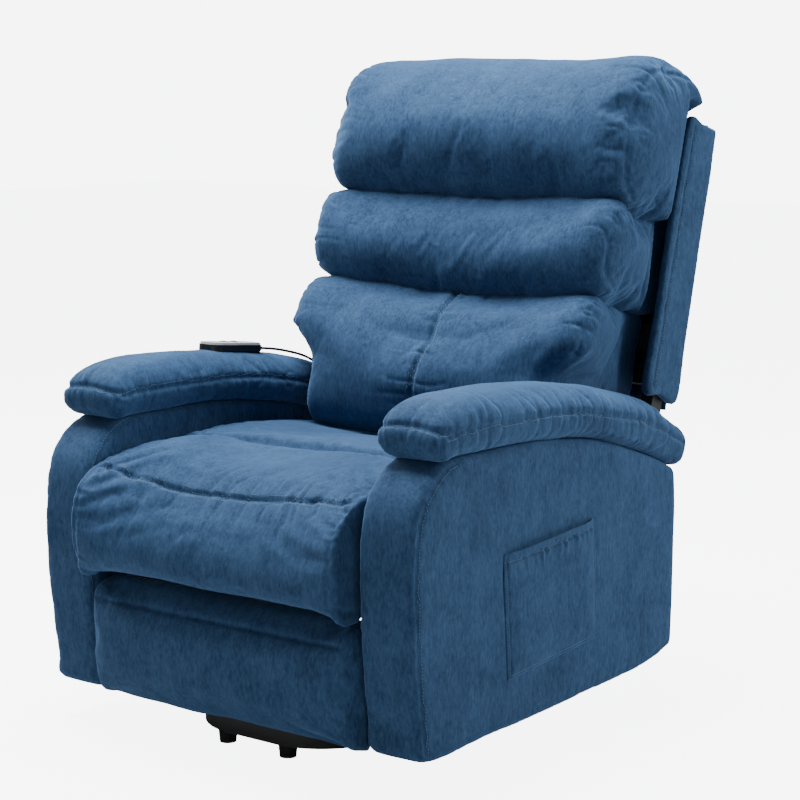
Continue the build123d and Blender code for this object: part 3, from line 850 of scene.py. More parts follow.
def sewn(thing, lines, body, rows=(), stitch_name=None, **press):
    """Presses each line into the cloth; with a stitch name, sews rows of thread at these offsets from it."""
    tree = surface_of(thing)
    laid = [laid_on(tree, resampled(line), 0.0) for line in lines]
    for number, line in enumerate(laid):
        press_seam(thing, line, seed=number * 7.3 + len(thing.name), **press)
    if stitch_name is None:
        return
    tree = surface_of(thing)
    threads = []
    for line in laid:
        for row in rows:
            threads.append(laid_on(tree, beside(tree, line, row), THREAD_LIFT))
    sew(stitch_name, threads, body)


print("sewn() ready")

# %% [markdown]
# ## Seat cushion
# The seat is one long cushion whose front rolls over and down to the footrest. It sags in the middle,
# most of all at the front, where people get up. A double row of thread closes the top panel to the roll.

# %% Seat cushion
SEAT_PROFILE = [
    (0.100, 0.346), (-0.200, 0.346), (-0.434, 0.346), (-0.446, 0.325), (-0.450, 0.301), (-0.474, 0.2915),
    (-0.504, 0.2925), (-0.524, 0.309), (-0.532, 0.348), (-0.532, 0.388), (-0.523, 0.422), (-0.501, 0.451),
    (-0.462, 0.470), (-0.380, 0.482), (-0.300, 0.481), (-0.262, 0.486), (-0.150, 0.490), (0.000, 0.474),
    (0.100, 0.461), (0.118, 0.440), (0.118, 0.370),
]
SEAT_HALF = 0.282
SEAT_SAG = 0.036


def seat_ring(x):
    ring = closed_curve(SEAT_PROFILE, 150)
    middle = 1 - min(1.0, abs(x) / SEAT_HALF) ** 2
    height = np.clip((ring[:, 1] - 0.36) / 0.10, 0, 1)
    front = 0.30 + 0.70 * np.clip((-ring[:, 0] - 0.22) / 0.22, 0, 1)
    ring[:, 1] -= SEAT_SAG * middle * height * front
    corner = np.clip((abs(x) - 0.264) / 0.014, 0, 1)
    ring[:, 1] -= 0.029 * corner * np.clip((0.33 - ring[:, 1]) / 0.03, 0, 1)
    return ring


def seat_held(points):
    under = (points[:, 2] < 0.352) & (points[:, 1] > -0.44)
    return np.where(under | (points[:, 1] > 0.03), 1.0, np.where(np.abs(points[:, 0]) > 0.276, 0.6, 0.0))


seat = loft("seat_cushion_cloth", rounded_sections(seat_ring, -SEAT_HALF, SEAT_HALF, 0.014))
remesh(seat, 0.0072)
swell(seat, 0.022, seat_held, pressure=3.0)
subdivide(seat)
rumple(seat, 0.0035, 0.11, 2.0)
seat_tree = surface_of(seat)
seam_x = np.linspace(-0.262, 0.262, 60)
front_seam = cast(seat_tree, [(x, -0.462 - 0.010 * abs(x) / 0.28, 0.7) for x in seam_x], (0, 0, -1))
sewn(seat, [front_seam], "chassis", rows=(-0.0072, 0.0072), stitch_name="seat_front_thread",
     depth=0.006, width=0.0048, fold=0.0030, reach=0.075, spacing=0.020)
cross_starts = [(x, -0.262 + 0.010 * math.sin(x * 9), 0.7) for x in seam_x]
cross_seam = cast(surface_of(seat), cross_starts, (0, 0, -1))
sewn(seat, [cross_seam], "chassis", depth=0.011, width=0.010, fold=0.0022, reach=0.07, spacing=0.034)
end_seams = [side_path([(-0.46, 0.292), (-0.504, 0.295), (-0.528, 0.33), (-0.530, 0.39), (-0.505, 0.445),
                        (-0.46, 0.468), (-0.30, 0.482), (-0.1, 0.482)], side * 0.270) for side in (-1, 1)]
sewn(seat, end_seams, "chassis", depth=0.003, width=0.005, fold=0.0022, reach=0.03, spacing=0.014)
finish_cloth(seat, "chassis", "seat_cushion")
print("seat", len(seat.data.polygons), "faces")

# %% [markdown]
# ## Footrest cushion
# The footrest is a board with a flat pad. It hangs under the seat roll until the chair reclines.

# %% Footrest cushion
FOOT_PROFILE = [
    (-0.4305, 0.066), (-0.4303, 0.160), (-0.4305, 0.262), (-0.446, 0.268), (-0.466, 0.266), (-0.484, 0.255),
    (-0.492, 0.232), (-0.4935, 0.170), (-0.489, 0.112), (-0.476, 0.075), (-0.458, 0.064), (-0.444, 0.063),
]


def foot_held(points):
    return np.where(points[:, 1] > -0.440, 1.0, 0.0)


foot_ring = closed_curve(FOOT_PROFILE, 110)
footrest = loft("footrest_cloth", rounded_sections(lambda x: foot_ring, -SEAT_HALF, SEAT_HALF, 0.014))
remesh(footrest, 0.0070)
swell(footrest, 0.012, foot_held, pressure=2.0)
subdivide(footrest)
rumple(footrest, 0.0026, 0.09, 11.0)
foot_tree = surface_of(footrest)
foot_seam = cast(foot_tree, [(x, -0.7, 0.236) for x in seam_x], (0, 1, 0))
sewn(footrest, [foot_seam], "footrest", depth=0.0035, width=0.005, fold=0.002, reach=0.05, spacing=0.022)
finish_cloth(footrest, "footrest", "footrest_cushion")
print("footrest", len(footrest.data.polygons), "faces")

# %% [markdown]
# ## Arms and their pads
# Each arm is a firm upholstered panel. One topstitched seam follows its front edge. A thick pad lies on
# top. The left ones are made, and mirrored copies stand on the right.

# %% Arms
ARM_TOP = [(-0.381, 0.526), (-0.306, 0.527), (-0.189, 0.526), (-0.065, 0.516), (0.033, 0.502),
           (0.146, 0.470), (0.260, 0.428)]
ARM_SIDE = [
    (-0.448, 0.067), (-0.280, 0.069), (-0.123, 0.071), (0.087, 0.078), (0.200, 0.086), (0.258, 0.100),
    (0.272, 0.118), (0.276, 0.300), (0.276, 0.405),
] + ARM_TOP[::-1] + [
    (-0.425, 0.508), (-0.457, 0.479), (-0.475, 0.443), (-0.483, 0.398), (-0.486, 0.340), (-0.483, 0.280),
    (-0.478, 0.220), (-0.463, 0.120),
]
ARM_INNER = 0.2872
ARM_OUTER = 0.4000
arm_ring = closed_curve(ARM_SIDE, 240)
arm = loft("arm_cloth_left", rounded_sections(lambda x: arm_ring, ARM_INNER, ARM_OUTER, 0.016, 6, 7))
remesh(arm, 0.0088)
subdivide(arm)
rumple(arm, 0.0022, 0.16, 21.0)
ARM_FRONT_SEAM = [(-0.375, 0.522), (-0.398, 0.516), (-0.428, 0.497), (-0.452, 0.470), (-0.466, 0.440),
                  (-0.472, 0.398), (-0.475, 0.340), (-0.468, 0.220), (-0.452, 0.085)]
arm_lines = [side_path(ARM_FRONT_SEAM, ARM_OUTER - 0.001), side_path(ARM_FRONT_SEAM, ARM_INNER + 0.001)]
sewn(arm, arm_lines, "chassis", rows=(-0.0055,), stitch_name="arm_thread_left",
     depth=0.0032, width=0.0045, fold=0.0011, reach=0.035, spacing=0.02)
ARM_HEM = [(-0.43, 0.084), (-0.123, 0.087), (0.087, 0.094), (0.20, 0.102), (0.252, 0.114)]
hem_line = side_path(ARM_HEM, ARM_OUTER)
sewn(arm, [hem_line], "chassis", depth=0.002, width=0.004, fold=0.0012, reach=0.03, spacing=0.02)
finish_cloth(arm, "chassis", "arm_cover_left")
arm_right = mirrored_copy(arm, "arm_cloth_right")
finish_cloth(arm_right, "chassis", "arm_cover_right")
mirrored_thread("arm_thread", "chassis")
print("arm", len(arm.data.polygons), "faces")

# %% Arm pads
PAD_INNER = 0.2745
PAD_OUTER = 0.4110
PAD_CROWN = [
    (0.286, 0.430), (0.306, 0.460), (0.300, 0.490), (0.240, 0.524), (0.175, 0.553), (0.050, 0.584),
    (-0.098, 0.604), (-0.236, 0.616), (-0.340, 0.618), (-0.405, 0.602), (-0.432, 0.572), (-0.428, 0.540),
    (-0.402, 0.522),
]
pad_ring = closed_curve(ARM_TOP + PAD_CROWN, 190)


def height_of(outline, y):
    """The outline's height at y; its points run from front to rear."""
    return np.interp(y, [point[0] for point in outline], [point[1] for point in outline])


def pad_section(x):
    """The pad's top is lower near its two long edges."""
    across = (x - (PAD_INNER + PAD_OUTER) / 2) / ((PAD_OUTER - PAD_INNER) / 2)
    ring = pad_ring.copy()
    above = np.clip((ring[:, 1] - height_of(ARM_TOP, ring[:, 0])) / 0.08, 0, 1)
    ring[:, 1] -= 0.014 * abs(across) ** 2.2 * above
    return ring


def pad_held(points):
    return np.where(points[:, 2] < height_of(ARM_TOP, points[:, 1]) + 0.012, 1.0, 0.0)


pad = loft("arm_pad_cloth_left", rounded_sections(pad_section, PAD_INNER, PAD_OUTER, 0.028, 7, 9))
remesh(pad, 0.0062)
swell(pad, 0.010, pad_held, pressure=2.5)
subdivide(pad)
rumple(pad, 0.0026, 0.10, 31.0)
PAD_SIDE_SEAM = [(-0.408, 0.566), (-0.375, 0.570), (-0.314, 0.571), (-0.136, 0.569), (-0.041, 0.560),
                 (0.126, 0.527), (0.220, 0.493), (0.285, 0.466)]
pad_lines = [side_path(PAD_SIDE_SEAM, PAD_OUTER + 0.003), side_path(PAD_SIDE_SEAM, PAD_INNER - 0.003)]
pad_tree = surface_of(pad)
across_x = np.linspace(PAD_INNER + 0.004, PAD_OUTER - 0.004, 26)
front_line = cast(pad_tree, [(x, -0.8, 0.570 + 0.010 * (1 - ((x - 0.343) / 0.07) ** 2)) for x in across_x],
                  (0, 1, 0))
pad_lines.append(front_line)
sewn(pad, pad_lines, "chassis", rows=(0.0050,), stitch_name="pad_thread_left",
     depth=0.0042, width=0.0048, fold=0.0030, reach=0.040, spacing=0.016)
corner_lines = [side_path([(-0.418, 0.566), (-0.421, 0.548), (-0.412, 0.527)], x)
                for x in (PAD_OUTER - 0.012, PAD_INNER + 0.012)]
sewn(pad, corner_lines, "chassis", depth=0.003, width=0.004, fold=0.0016, reach=0.02, spacing=0.012)
finish_cloth(pad, "chassis", "arm_pad_left")
pad_right = mirrored_copy(pad, "arm_pad_cloth_right")
finish_cloth(pad_right, "chassis", "arm_pad_right")
mirrored_thread("pad_thread", "chassis")
print("pad", len(pad.data.polygons), "faces")

# %% [markdown]
# ## Side pockets
# A flat pouch is sewn to the outside of each arm. Elastic in its hem gathers the mouth, so the cloth
# under the hem stands out in small ruffles.

# %% Side pockets
POCKET_MIDDLE = (-0.120, 0.264)
POCKET_WIDE = 0.262
POCKET_HIGH = 0.206
POCKET_TILT = math.radians(4.0)
HEM = 0.014


def pocket_place(u, v):
    """The pocket's own across and up, turned to the arm's y and z."""
    y = POCKET_MIDDLE[0] + u * math.cos(POCKET_TILT) - v * math.sin(POCKET_TILT)
    z = POCKET_MIDDLE[1] + u * math.sin(POCKET_TILT) + v * math.cos(POCKET_TILT)
    return y, z


def pocket_mesh(name):
    across = 132
    up = 96
    outer = []
    for j in range(up + 1):
        v = j / up
        for i in range(across + 1):
            u = i / across
            edge = min(u, 1 - u, v * 0.8) * 2
            bulge = 0.0085 * math.sin(math.pi / 2 * min(1.0, edge * 2.6)) ** 0.8
            narrow = 1 - 0.030 * math.exp(-((1 - v) * POCKET_HIGH / 0.03) ** 2)
            outer.append(((u - 0.5) * POCKET_WIDE * narrow, (v - 0.5) * POCKET_HIGH, 0.0012 + bulge))
    outer = np.array(outer)
    drop = POCKET_HIGH / 2 - outer[:, 1]
    mouth = np.exp(-((drop - HEM) / 0.020) ** 2) * (drop > HEM * 0.9)
    ruffle = soft_noise(np.stack([outer[:, 0], drop * 0.12, 0 * drop], axis=1), 0.0085, 4.0)
    outer[:, 2] += 0.0034 * mouth * ruffle
    outer[:, 2] -= 0.0030 * np.exp(-((drop - HEM) / 0.0022) ** 2)
    outer[:, 2] += 0.0010 * soft_noise(outer, 0.05, 8.0)
    side = np.minimum(outer[:, 0] + POCKET_WIDE / 2, POCKET_WIDE / 2 - outer[:, 0])
    outer[:, 2] -= 0.0016 * np.exp(-((side - 0.007) / 0.002) ** 2)
    outer[:, 2] = np.maximum(outer[:, 2], 0.0008)
    row = across + 1
    inner = outer.copy()
    inner[:, 2] = np.maximum(outer[:, 2] - 0.0016, 0.0002)
    points = np.concatenate([outer, inner])
    total = len(outer)
    faces = []
    for j in range(up):
        for i in range(across):
            a = j * row + i
            faces.append((a, a + 1, a + row + 1, a + row))
            faces.append((a + total, a + row + total, a + row + 1 + total, a + 1 + total))
    ring = ([i for i in range(row)] + [j * row + across for j in range(1, up + 1)]
            + [up * row + i for i in range(across - 1, -1, -1)] + [j * row for j in range(up - 1, 0, -1)])
    for k, a in enumerate(ring):
        b = ring[(k + 1) % len(ring)]
        faces.append((b, a, a + total, b + total))
    y, z = pocket_place(points[:, 0], points[:, 1])
    placed = np.stack([ARM_OUTER + points[:, 2], y, z], axis=1)
    return add_mesh(name, placed, faces)


pocket = pocket_mesh("pocket_cloth_left")
finish_cloth(pocket, "chassis", "side_pocket_left")
pocket_right = mirrored_copy(pocket, "pocket_cloth_right")
finish_cloth(pocket_right, "chassis", "side_pocket_right")


def pocket_point(u, v):
    """A point just outside the pocket, from where a ray can meet its cloth."""
    return (ARM_OUTER + 0.03, *pocket_place(u, v))


pocket_tree = surface_of(pocket)
half = POCKET_WIDE / 2 - 0.007
low = -POCKET_HIGH / 2 + 0.007
high = POCKET_HIGH / 2
hem_row = [pocket_point(u, high - HEM) for u in np.linspace(-half * 0.96, half * 0.96, 60)]
edge_row = [pocket_point(-half, v) for v in np.linspace(high - HEM, low, 30)]
edge_row += [pocket_point(u, low) for u in np.linspace(-half, half, 40)[1:]]
edge_row += [pocket_point(half, v) for v in np.linspace(low, high - HEM, 30)[1:]]
pocket_rows = [laid_on(pocket_tree, cast(pocket_tree, row, (-1, 0, 0)), THREAD_LIFT)
               for row in (hem_row, edge_row)]
sew("pocket_thread_left", pocket_rows, "chassis", pitch=0.0048)
mirrored_thread("pocket_thread", "chassis")
print("pocket", len(pocket.data.polygons), "faces")

# %% [markdown]
# ## Back cushions
# Three stuffed cushions are stacked on the leaning frame. The head cushion wraps over the top, and the
# lumbar one goes down between the arms. Their sides are gathered, so short folds fan out from the seams.

# %% Back cushion tools
def back_place(points):
    """Chair coordinates back to w and u."""
    y = points[:, 1] - HINGE_Y
    z = points[:, 2] - HINGE_Z
    w = y * math.cos(BACK_LEAN) - z * math.sin(BACK_LEAN)
    u = y * math.sin(BACK_LEAN) + z * math.cos(BACK_LEAN)
    return w, u


def leaned(points):
    return [lean(w, u) for w, u in points]


def back_held(points):
    w, u = back_place(points)
    return np.clip((w - 0.040) / 0.02, 0, 1)


def side_seams(profile_part, x, thing):
    tree = surface_of(thing)
    lines = []
    for side in (-1, 1):
        path = resampled([(side * x, *lean(w, u)) for w, u in profile_part])
        lines.append(laid_on(tree, path, 0.0))
    return lines


END_STEPS = 10
MIDDLE_STEPS = 14


def pillow_sections(profile, half_width, edge, low_draw, high_draw, sag, dish):
    """Stations whose ends lose depth towards the rear, and a little height."""
    stations = [(-1, i / END_STEPS) for i in range(END_STEPS)]
    stations += [(0, x) for x in np.linspace(-1, 1, MIDDLE_STEPS)]
    stations += [(1, 1 - i / END_STEPS) for i in range(1, END_STEPS + 1)]
    sections = []
    for side, t in stations:
        x = t * (half_width - edge) if side == 0 else side * (half_width - edge * t)
        inset = 0.0 if side == 0 else edge * (1 - math.sqrt(max(0.0, 1 - (1 - t) ** 2)))
        ring = closed_curve(profile, 150)
        rear = ring[:, 0].max()
        depth = rear - ring[:, 0].min()
        ring[:, 0] = rear - (rear - ring[:, 0]) * (1 - inset / depth)
        high = (ring[:, 1] - ring[:, 1].min()) / (ring[:, 1].max() - ring[:, 1].min())
        ring[:, 1] += inset * (low_draw * (1 - high) - high_draw * high)
        middle = 1 - min(1.0, abs(x) / half_width) ** 2
        front = np.clip(-(ring[:, 0] - 0.02) / 0.12, 0, 1)
        ring[:, 1] -= middle * front * (sag[0] * (1 - high) + sag[1] * high)
        ring[:, 0] += dish * middle * front
        sections.append((x, np.array(leaned(ring))))
    return sections


def taper_sides(thing, rear_half, half_width):
    """Draws the side panels in towards the wings; the front corners stay the widest part."""
    points = coordinates(thing)
    w, u = back_place(points)
    drawn = np.clip((w + 0.135) / 0.185, 0, 1) ** 0.85
    side = np.clip(np.abs(points[:, 0]) - 0.20, 0, 1)
    points[:, 0] -= np.sign(points[:, 0]) * side * drawn * (half_width - rear_half) / (half_width - 0.20)
    set_coordinates(thing, points)


def leave_room_for_wings(thing):
    """Narrows the cushion's rear, where the side wings and the steel posts are."""
    points = coordinates(thing)
    w, u = back_place(points)
    below_top = np.clip((0.775 - u) / 0.020, 0, 1)
    reach = below_top * np.clip((w - 0.048) / 0.014, 0, 1) * np.clip(np.abs(points[:, 0]) - 0.2752, 0, 1)
    points[:, 0] -= np.sign(points[:, 0]) * reach
    set_coordinates(thing, points)


WIDEST_HALF = 0.335


def back_cushion(name, sections, seed, rear_half):
    """A stuffed cushion of the back, from its stations."""
    thing = loft(name, sections)
    taper_sides(thing, rear_half, WIDEST_HALF)
    remesh(thing, 0.0070)
    swell(thing, 0.022, back_held, pressure=4.0)
    subdivide(thing)
    leave_room_for_wings(thing)
    rumple(thing, 0.0045, 0.12, seed)
    return thing


print("back cushion tools ready")

# %% Head cushion
HEAD = [
    (0.108, 0.735), (0.108, 0.650), (0.108, 0.552), (0.030, 0.546), (-0.066, 0.543), (-0.118, 0.548),
    (-0.150, 0.564), (-0.166, 0.594), (-0.170, 0.638), (-0.166, 0.692), (-0.150, 0.748), (-0.116, 0.790),
    (-0.058, 0.815), (0.030, 0.822), (0.084, 0.806), (0.106, 0.772),
]
head_sections = pillow_sections(HEAD, 0.332, 0.046, 0.12, 0.60, (0.022, 0.002), 0.004)
head = back_cushion("head_cloth", head_sections, 41.0, 0.322)
head_part = [(0.04, 0.812), (-0.04, 0.808), (-0.085, 0.788), (-0.120, 0.750), (-0.136, 0.70), (-0.140, 0.64),
             (-0.136, 0.60), (-0.122, 0.57), (-0.092, 0.552)]
sewn(head, side_seams(head_part, 0.326, head), "back", depth=0.0035, width=0.005, fold=0.0042, reach=0.048,
     spacing=0.018)
finish_cloth(head, "back", "head_cushion")
print("head", len(head.data.polygons), "faces")

# %% Middle cushion
MIDDLE = [
    (0.108, 0.556), (0.108, 0.480), (0.108, 0.392), (0.020, 0.386), (-0.068, 0.382), (-0.120, 0.384),
    (-0.158, 0.398), (-0.178, 0.430), (-0.182, 0.470), (-0.176, 0.510), (-0.156, 0.538), (-0.118, 0.549),
    (-0.060, 0.551), (0.020, 0.554),
]
middle_sections = pillow_sections(MIDDLE, WIDEST_HALF, 0.046, 0.12, 0.14, (0.026, 0.022), 0.004)
middle_cushion = back_cushion("middle_cloth", middle_sections, 47.0, 0.290)
middle_part = [(-0.06, 0.550), (-0.11, 0.542), (-0.138, 0.51), (-0.150, 0.47), (-0.148, 0.43),
               (-0.130, 0.400), (-0.085, 0.386)]
sewn(middle_cushion, side_seams(middle_part, 0.329, middle_cushion), "back", depth=0.0035, width=0.005,
     fold=0.0042, reach=0.046, spacing=0.016)
finish_cloth(middle_cushion, "back", "middle_cushion")
print("middle", len(middle_cushion.data.polygons), "faces")

# %% Lumbar cushion
LUMBAR = [
    (0.108, 0.384), (0.108, 0.320), (0.108, 0.240), (0.070, 0.170), (-0.010, 0.112), (-0.090, 0.094),
    (-0.155, 0.100), (-0.188, 0.136), (-0.200, 0.190), (-0.204, 0.250), (-0.201, 0.300), (-0.186, 0.345),
    (-0.154, 0.372), (-0.110, 0.380), (-0.040, 0.382), (0.040, 0.383),
]
LUMBAR_HALF = 0.328


def draw_in_between_arms(thing):
    """Below the arm pads the cushion is narrow; one side leaves room for the handset's cord."""
    points = coordinates(thing)
    crown = height_of(PAD_CROWN[6::-1], points[:, 1])
    above = np.clip((points[:, 2] - crown - 0.006) / 0.070, 0, 1)
    above = above * above * (3 - 2 * above)
    narrow = np.where(points[:, 0] > 0, 0.270, 0.261)
    limit = narrow + (LUMBAR_HALF - narrow) * above
    points[:, 0] *= limit / LUMBAR_HALF
    set_coordinates(thing, points)


def lumbar_held(points):
    low_end = np.clip((0.15 - back_place(points)[1]) / 0.03, 0, 1)
    return np.maximum(back_held(points), low_end)


lumbar_sections = pillow_sections(LUMBAR, LUMBAR_HALF, 0.052, 0.12, 0.16, (0.0, 0.026), 0.0)
lumbar = loft("lumbar_cloth", lumbar_sections)
taper_sides(lumbar, 0.262, LUMBAR_HALF)
draw_in_between_arms(lumbar)
remesh(lumbar, 0.0070)
swell(lumbar, 0.018, lumbar_held, pressure=3.5)
subdivide(lumbar)
leave_room_for_wings(lumbar)
rumple(lumbar, 0.0050, 0.12, 53.0)
centre_part = [(-0.060, 0.384), (-0.120, 0.374), (-0.165, 0.345), (-0.192, 0.300), (-0.198, 0.250),
               (-0.196, 0.200), (-0.186, 0.150), (-0.160, 0.110)]
centre_line = resampled([(0.012 * math.sin(k * 0.5), *lean(w, u)) for k, (w, u) in enumerate(centre_part)])
sewn(lumbar, [centre_line], "back", rows=(-0.0068, 0.0068), stitch_name="lumbar_thread",
     depth=0.0075, width=0.0055, fold=0.0032, reach=0.055, spacing=0.024)
lumbar_side_part = [(-0.08, 0.378), (-0.13, 0.368), (-0.158, 0.34), (-0.170, 0.30), (-0.172, 0.262)]
sewn(lumbar, side_seams(lumbar_side_part, 0.316, lumbar), "back", depth=0.003, width=0.005, fold=0.0042,
     reach=0.048, spacing=0.016)
finish_cloth(lumbar, "back", "lumbar_cushion")
print("lumbar", len(lumbar.data.polygons), "faces")

# %% [markdown]
# ## Side wings and rear cover
# The back's frame is closed in at the sides by narrow padded wings and behind by a flat cover.

# %% Wings and rear cover
WING_INNER = 0.3015
WING_OUTER = 0.3210


def rear_w(u):
    """The back's rear face at height u; it slopes a little further to the rear lower down."""
    top_w = (0.530 - HINGE_Y - 0.738 * math.sin(BACK_LEAN)) / math.cos(BACK_LEAN)
    return top_w + (0.738 - u) * 0.024


WING = [(0.066, 0.246), (rear_w(0.24) - 0.06, 0.243), (rear_w(0.24), 0.241), (rear_w(0.35), 0.35),
        (rear_w(0.48), 0.48), (rear_w(0.60), 0.60), (rear_w(0.735), 0.735), (0.150, 0.744), (0.110, 0.743),
        (0.064, 0.736), (0.060, 0.60), (0.061, 0.48), (0.064, 0.36)]
wing_ring = np.array(leaned(closed_curve(WING, 220)))
wing = loft("wing_cloth_left", rounded_sections(lambda x: wing_ring, WING_INNER, WING_OUTER, 0.0085, 5, 3))
remesh(wing, 0.0052)
subdivide(wing)
rumple(wing, 0.0014, 0.09, 61.0)
wing_tree = surface_of(wing)
wing_line = [(WING_OUTER + 0.02, *lean(0.080, u)) for u in np.linspace(0.256, 0.728, 90)]
wing_line = cast(wing_tree, wing_line, (-1, 0, 0))
sewn(wing, [wing_line], "back", rows=(0.0050,), stitch_name="wing_thread_left",
     depth=0.0028, width=0.0040, fold=0.0014, reach=0.025, spacing=0.018)
finish_cloth(wing, "back", "back_wing_left")
wing_right = mirrored_copy(wing, "wing_cloth_right")
finish_cloth(wing_right, "back", "back_wing_right")
mirrored_thread("wing_thread", "back")

COVER_DEPTH = 0.010
COVER_HALF = 0.3010
cover_profile = [(rear_w(0.24) - COVER_DEPTH, 0.242), (rear_w(0.24), 0.242), (rear_w(0.42), 0.42),
                 (rear_w(0.58), 0.58), (rear_w(0.736), 0.736), (rear_w(0.736) - COVER_DEPTH, 0.736),
                 (rear_w(0.58) - COVER_DEPTH, 0.58), (rear_w(0.42) - COVER_DEPTH, 0.42)]
cover_ring = np.array(leaned(closed_curve(cover_profile, 160)))
cover_sections = rounded_sections(lambda x: cover_ring, -COVER_HALF, COVER_HALF, 0.004, 4, 40)
cover = loft("rear_cover_cloth", cover_sections)
remesh(cover, 0.0060)
subdivide(cover)
rumple(cover, 0.0018, 0.13, 67.0)
cover_tree = surface_of(cover)
COVER_SEAM = 0.288
into_cover = (0, -math.cos(BACK_LEAN), math.sin(BACK_LEAN))


def behind_cover(x, u):
    return (x, *lean(rear_w(u) + 0.05, u))


cover_starts = [[behind_cover(x, u) for u in np.linspace(0.25, 0.73, 80)] for x in (-COVER_SEAM, COVER_SEAM)]
cover_starts.append([behind_cover(x, 0.722) for x in np.linspace(-COVER_SEAM, COVER_SEAM, 90)])
cover_lines = [cast(cover_tree, starts, into_cover) for starts in cover_starts]
sewn(cover, cover_lines, "back", rows=(0.0,), stitch_name="rear_cover_thread",
     depth=0.0018, width=0.0035, fold=0.0013, reach=0.025, spacing=0.018)
finish_cloth(cover, "back", "rear_cover")
print("wings and cover done")

# %% [markdown]
# ## Hard parts
# The steel, plastic and wood keep their CAD shapes. Each gets a finish with its own wear: paint that is
# polished on its edges, moulded plastic with a fine texture, and ply with its layers.

# %% Finish groups
def wear_group():
    """Edge wear and smudges: the mask is 1 where paint is rubbed thin."""
    tree = bpy.data.node_groups.new("rubbed_edges", "ShaderNodeTree")
    value_socket(tree, "Wear", 0.5)
    output_socket(tree, "Mask")
    output_socket(tree, "Smudge")
    inside = node(tree, "NodeGroupInput")
    outside = node(tree, "NodeGroupOutput")
    place = object_place(tree)
    edges = node(tree, "ShaderNodeBevel", samples=4)
    edges.inputs["Radius"].default_value = 0.0018
    flat = node(tree, "ShaderNodeNewGeometry")
    turn = node(tree, "ShaderNodeVectorMath", operation="DOT_PRODUCT")
    tree.links.new(edges.outputs["Normal"], turn.inputs[0])
    tree.links.new(flat.outputs["Normal"], turn.inputs[1])
    rounding = math_node(tree, "SUBTRACT", 1.0, turn.outputs["Value"])
    speckle = noise_node(tree, place, 90.0, 4.0)
    broken = math_node(tree, "MULTIPLY", math_node(tree, "MULTIPLY", rounding, 6.0), speckle)
    mask = math_node(tree, "MULTIPLY", broken, inside.outputs["Wear"])
    tree.links.new(clamped(tree, mask), outside.inputs["Mask"])
    tree.links.new(noise_node(tree, place, 18.0, 5.0, 0.6), outside.inputs["Smudge"])
    return tree


WEAR_GROUP = wear_group()


def painted(name, color, under, roughness, wear=0.5, metallic=0.0, peel=0.15, **constants):
    """A hard finish: its colour, what shows where it is rubbed, and how strongly its skin is textured."""
    finish, tree, shader = new_finish(name, color, roughness, metallic, **constants)
    rubbed = node(tree, "ShaderNodeGroup", node_tree=WEAR_GROUP)
    rubbed.inputs["Wear"].default_value = wear
    worn = color_mix(tree, rubbed.outputs["Mask"], color, under)
    tree.links.new(worn, shader.inputs["Base Color"])
    smudged = scaled(tree, rubbed.outputs["Smudge"], 0.22, roughness - 0.11)
    tree.links.new(smudged, shader.inputs["Roughness"])
    add_bump(tree, shader, noise_node(tree, object_place(tree), 700.0, 2.0), peel, 0.0004)
    return finish


HARD = {
    "black_frame_steel": painted("black_powder_coat", (0.012, 0.012, 0.013), (0.12, 0.12, 0.12), 0.45),
    "mechanism_steel": painted("grey_stamped_steel", (0.045, 0.046, 0.050), (0.30, 0.30, 0.30), 0.42, 0.8),
    "zinc_fasteners": painted("zinc", (0.52, 0.52, 0.50), (0.75, 0.75, 0.74), 0.36, 0.4, 1.0),
    "foot_rubber": painted("foot_rubber", (0.012, 0.012, 0.012), (0.05, 0.05, 0.05), 0.75, 0.6, peel=0.4),
    "black_plastic": painted("moulded_black", (0.016, 0.016, 0.018), (0.05, 0.05, 0.05), 0.52, peel=0.35),
    "drive_tube": painted("anodised_tube", (0.42, 0.43, 0.45), (0.7, 0.7, 0.7), 0.36, 0.3, 1.0),
    "drive_rod": painted("polished_rod", (0.72, 0.72, 0.74), (0.8, 0.8, 0.8), 0.16, 0.2, 1.0, 0.03),
    "spring_wire": painted("spring_wire", (0.22, 0.22, 0.23), (0.5, 0.5, 0.5), 0.42, 0.4, 1.0),
    "webbing": painted("elastic_webbing", (0.020, 0.020, 0.021), (0.06, 0.06, 0.06), 0.85, 0.4, peel=0.9),
    "handset_black": painted("handset_black", (0.010, 0.010, 0.011), (0.04, 0.04, 0.04), 0.38, peel=0.25),
    "handset_white": painted("handset_white", (0.80, 0.82, 0.84), (0.88, 0.88, 0.88), 0.30, 0.3, peel=0.05,
                             Coat_Weight=0.25),
    "button_grey": painted("button_grey", (0.26, 0.27, 0.29), (0.40, 0.40, 0.41), 0.55, 0.5, peel=0.2),
}


def ply_finish():
    finish, tree, shader = new_finish("plywood", (0.55, 0.40, 0.24), 0.65)
    place = object_place(tree)
    grain = noise_node(tree, stretched(tree, place, (6.0, 0.8, 6.0)), 14.0, 6.0, 0.6, 1.2)
    layers = node(tree, "ShaderNodeTexWave", wave_type="BANDS", bands_direction="X")
    layers.inputs["Scale"].default_value = 120.0
    layers.inputs["Distortion"].default_value = 0.6
    tree.links.new(place, layers.inputs["Vector"])
    mask = math_node(tree, "MULTIPLY", layers.outputs["Fac"], 0.35)
    mask = math_node(tree, "ADD", mask, math_node(tree, "MULTIPLY", grain, 0.65))
    layered = color_mix(tree, mask, (0.34, 0.22, 0.12), (0.66, 0.50, 0.32))
    tree.links.new(layered, shader.inputs["Base Color"])
    add_bump(tree, shader, grain, 0.3, 0.0006)
    return finish


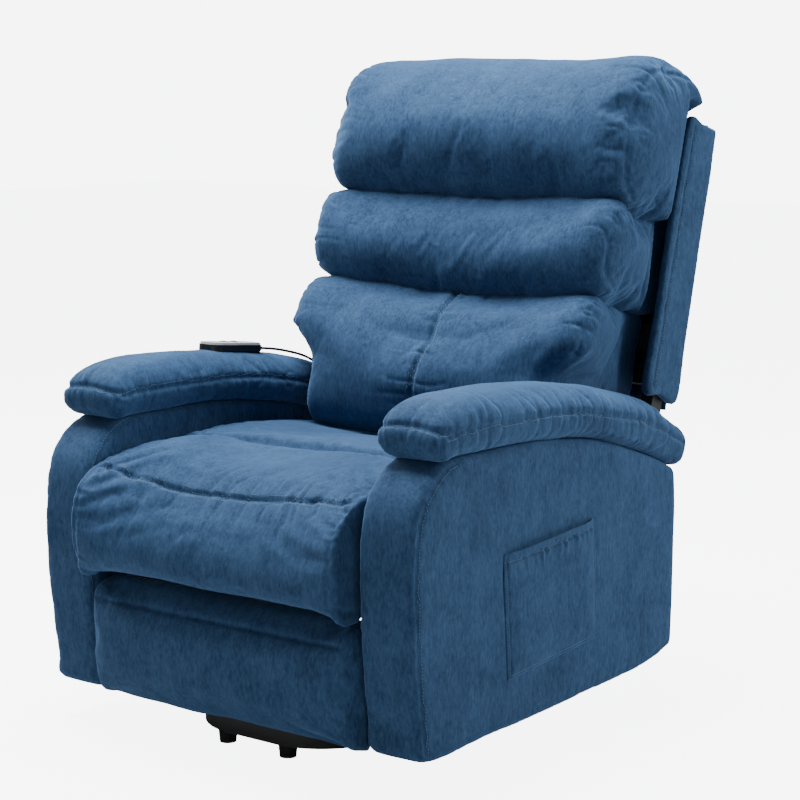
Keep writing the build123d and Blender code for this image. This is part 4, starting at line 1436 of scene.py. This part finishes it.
HARD["plywood"] = ply_finish()
print("hard finishes", sorted(HARD))

# %% Finish every CAD node
slot_of = {part["node"]: part["material_slot"] for part in frame["record"]["subparts"]}
for name, thing in nodes.items():
    if slot_of[name] in HARD:
        thing.data.materials.clear()
        thing.data.materials.append(HARD[slot_of[name]])
print("finished", sum(slot in HARD for slot in slot_of.values()), "nodes")

# %% [markdown]
# ## Handset marks
# Two raised arrows tell the buttons apart: one points to the rear for lifting, one to the front for
# reclining. Each rides on its own button, so that it sinks with it.

# %% Handset marks
BUTTON_TILT = math.radians(-5.5)
ARROW = [(0.0, 0.0048), (0.0046, -0.0016), (0.0020, -0.0016), (0.0020, -0.0046), (-0.0020, -0.0046),
         (-0.0020, -0.0016), (-0.0046, -0.0016)]
ARROW_RISE = 0.0006


def arrow(name, node_name, body, direction):
    """A raised arrow on a button's face; direction 1 points to the rear and -1 to the front."""
    low_corner, high_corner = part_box(node_name)
    centre = (low_corner + high_corner) / 2
    up = Vector((0, -math.sin(BUTTON_TILT), math.cos(BUTTON_TILT)))
    along = Vector((0, math.cos(BUTTON_TILT), math.sin(BUTTON_TILT))) * direction
    side = Vector((1, 0, 0))
    top = centre + up * ((high_corner.z - low_corner.z) / 2 - 0.0008)
    points = [top + side * a + along * b + up * 0.0002 for a, b in ARROW]
    points += [p + up * ARROW_RISE for p in points]
    count = len(ARROW)
    faces = [tuple(range(count, 2 * count)), tuple(reversed(range(count)))]
    faces += [(k, (k + 1) % count, (k + 1) % count + count, k + count) for k in range(count)]
    thing = add_mesh(name, points, faces)
    thing.data.materials.append(arrow_finish)
    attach(thing, body)


arrow_finish = painted("arrow_print", (0.70, 0.72, 0.74), (0.8, 0.8, 0.8), 0.5, 0.3, peel=0.1)
arrow("arrow_up", "button_up", "up_button", 1)
arrow("arrow_down", "button_down", "down_button", -1)
print("arrows added")

# %% [markdown]
# ## Last step
# The single stitch that every row of thread was copied from is taken out of the scene.
# The finished chair must stay within 3 % and 10 mm of its CAD box.

# %% Removing the stitch shape
bpy.data.objects.remove(STITCH)
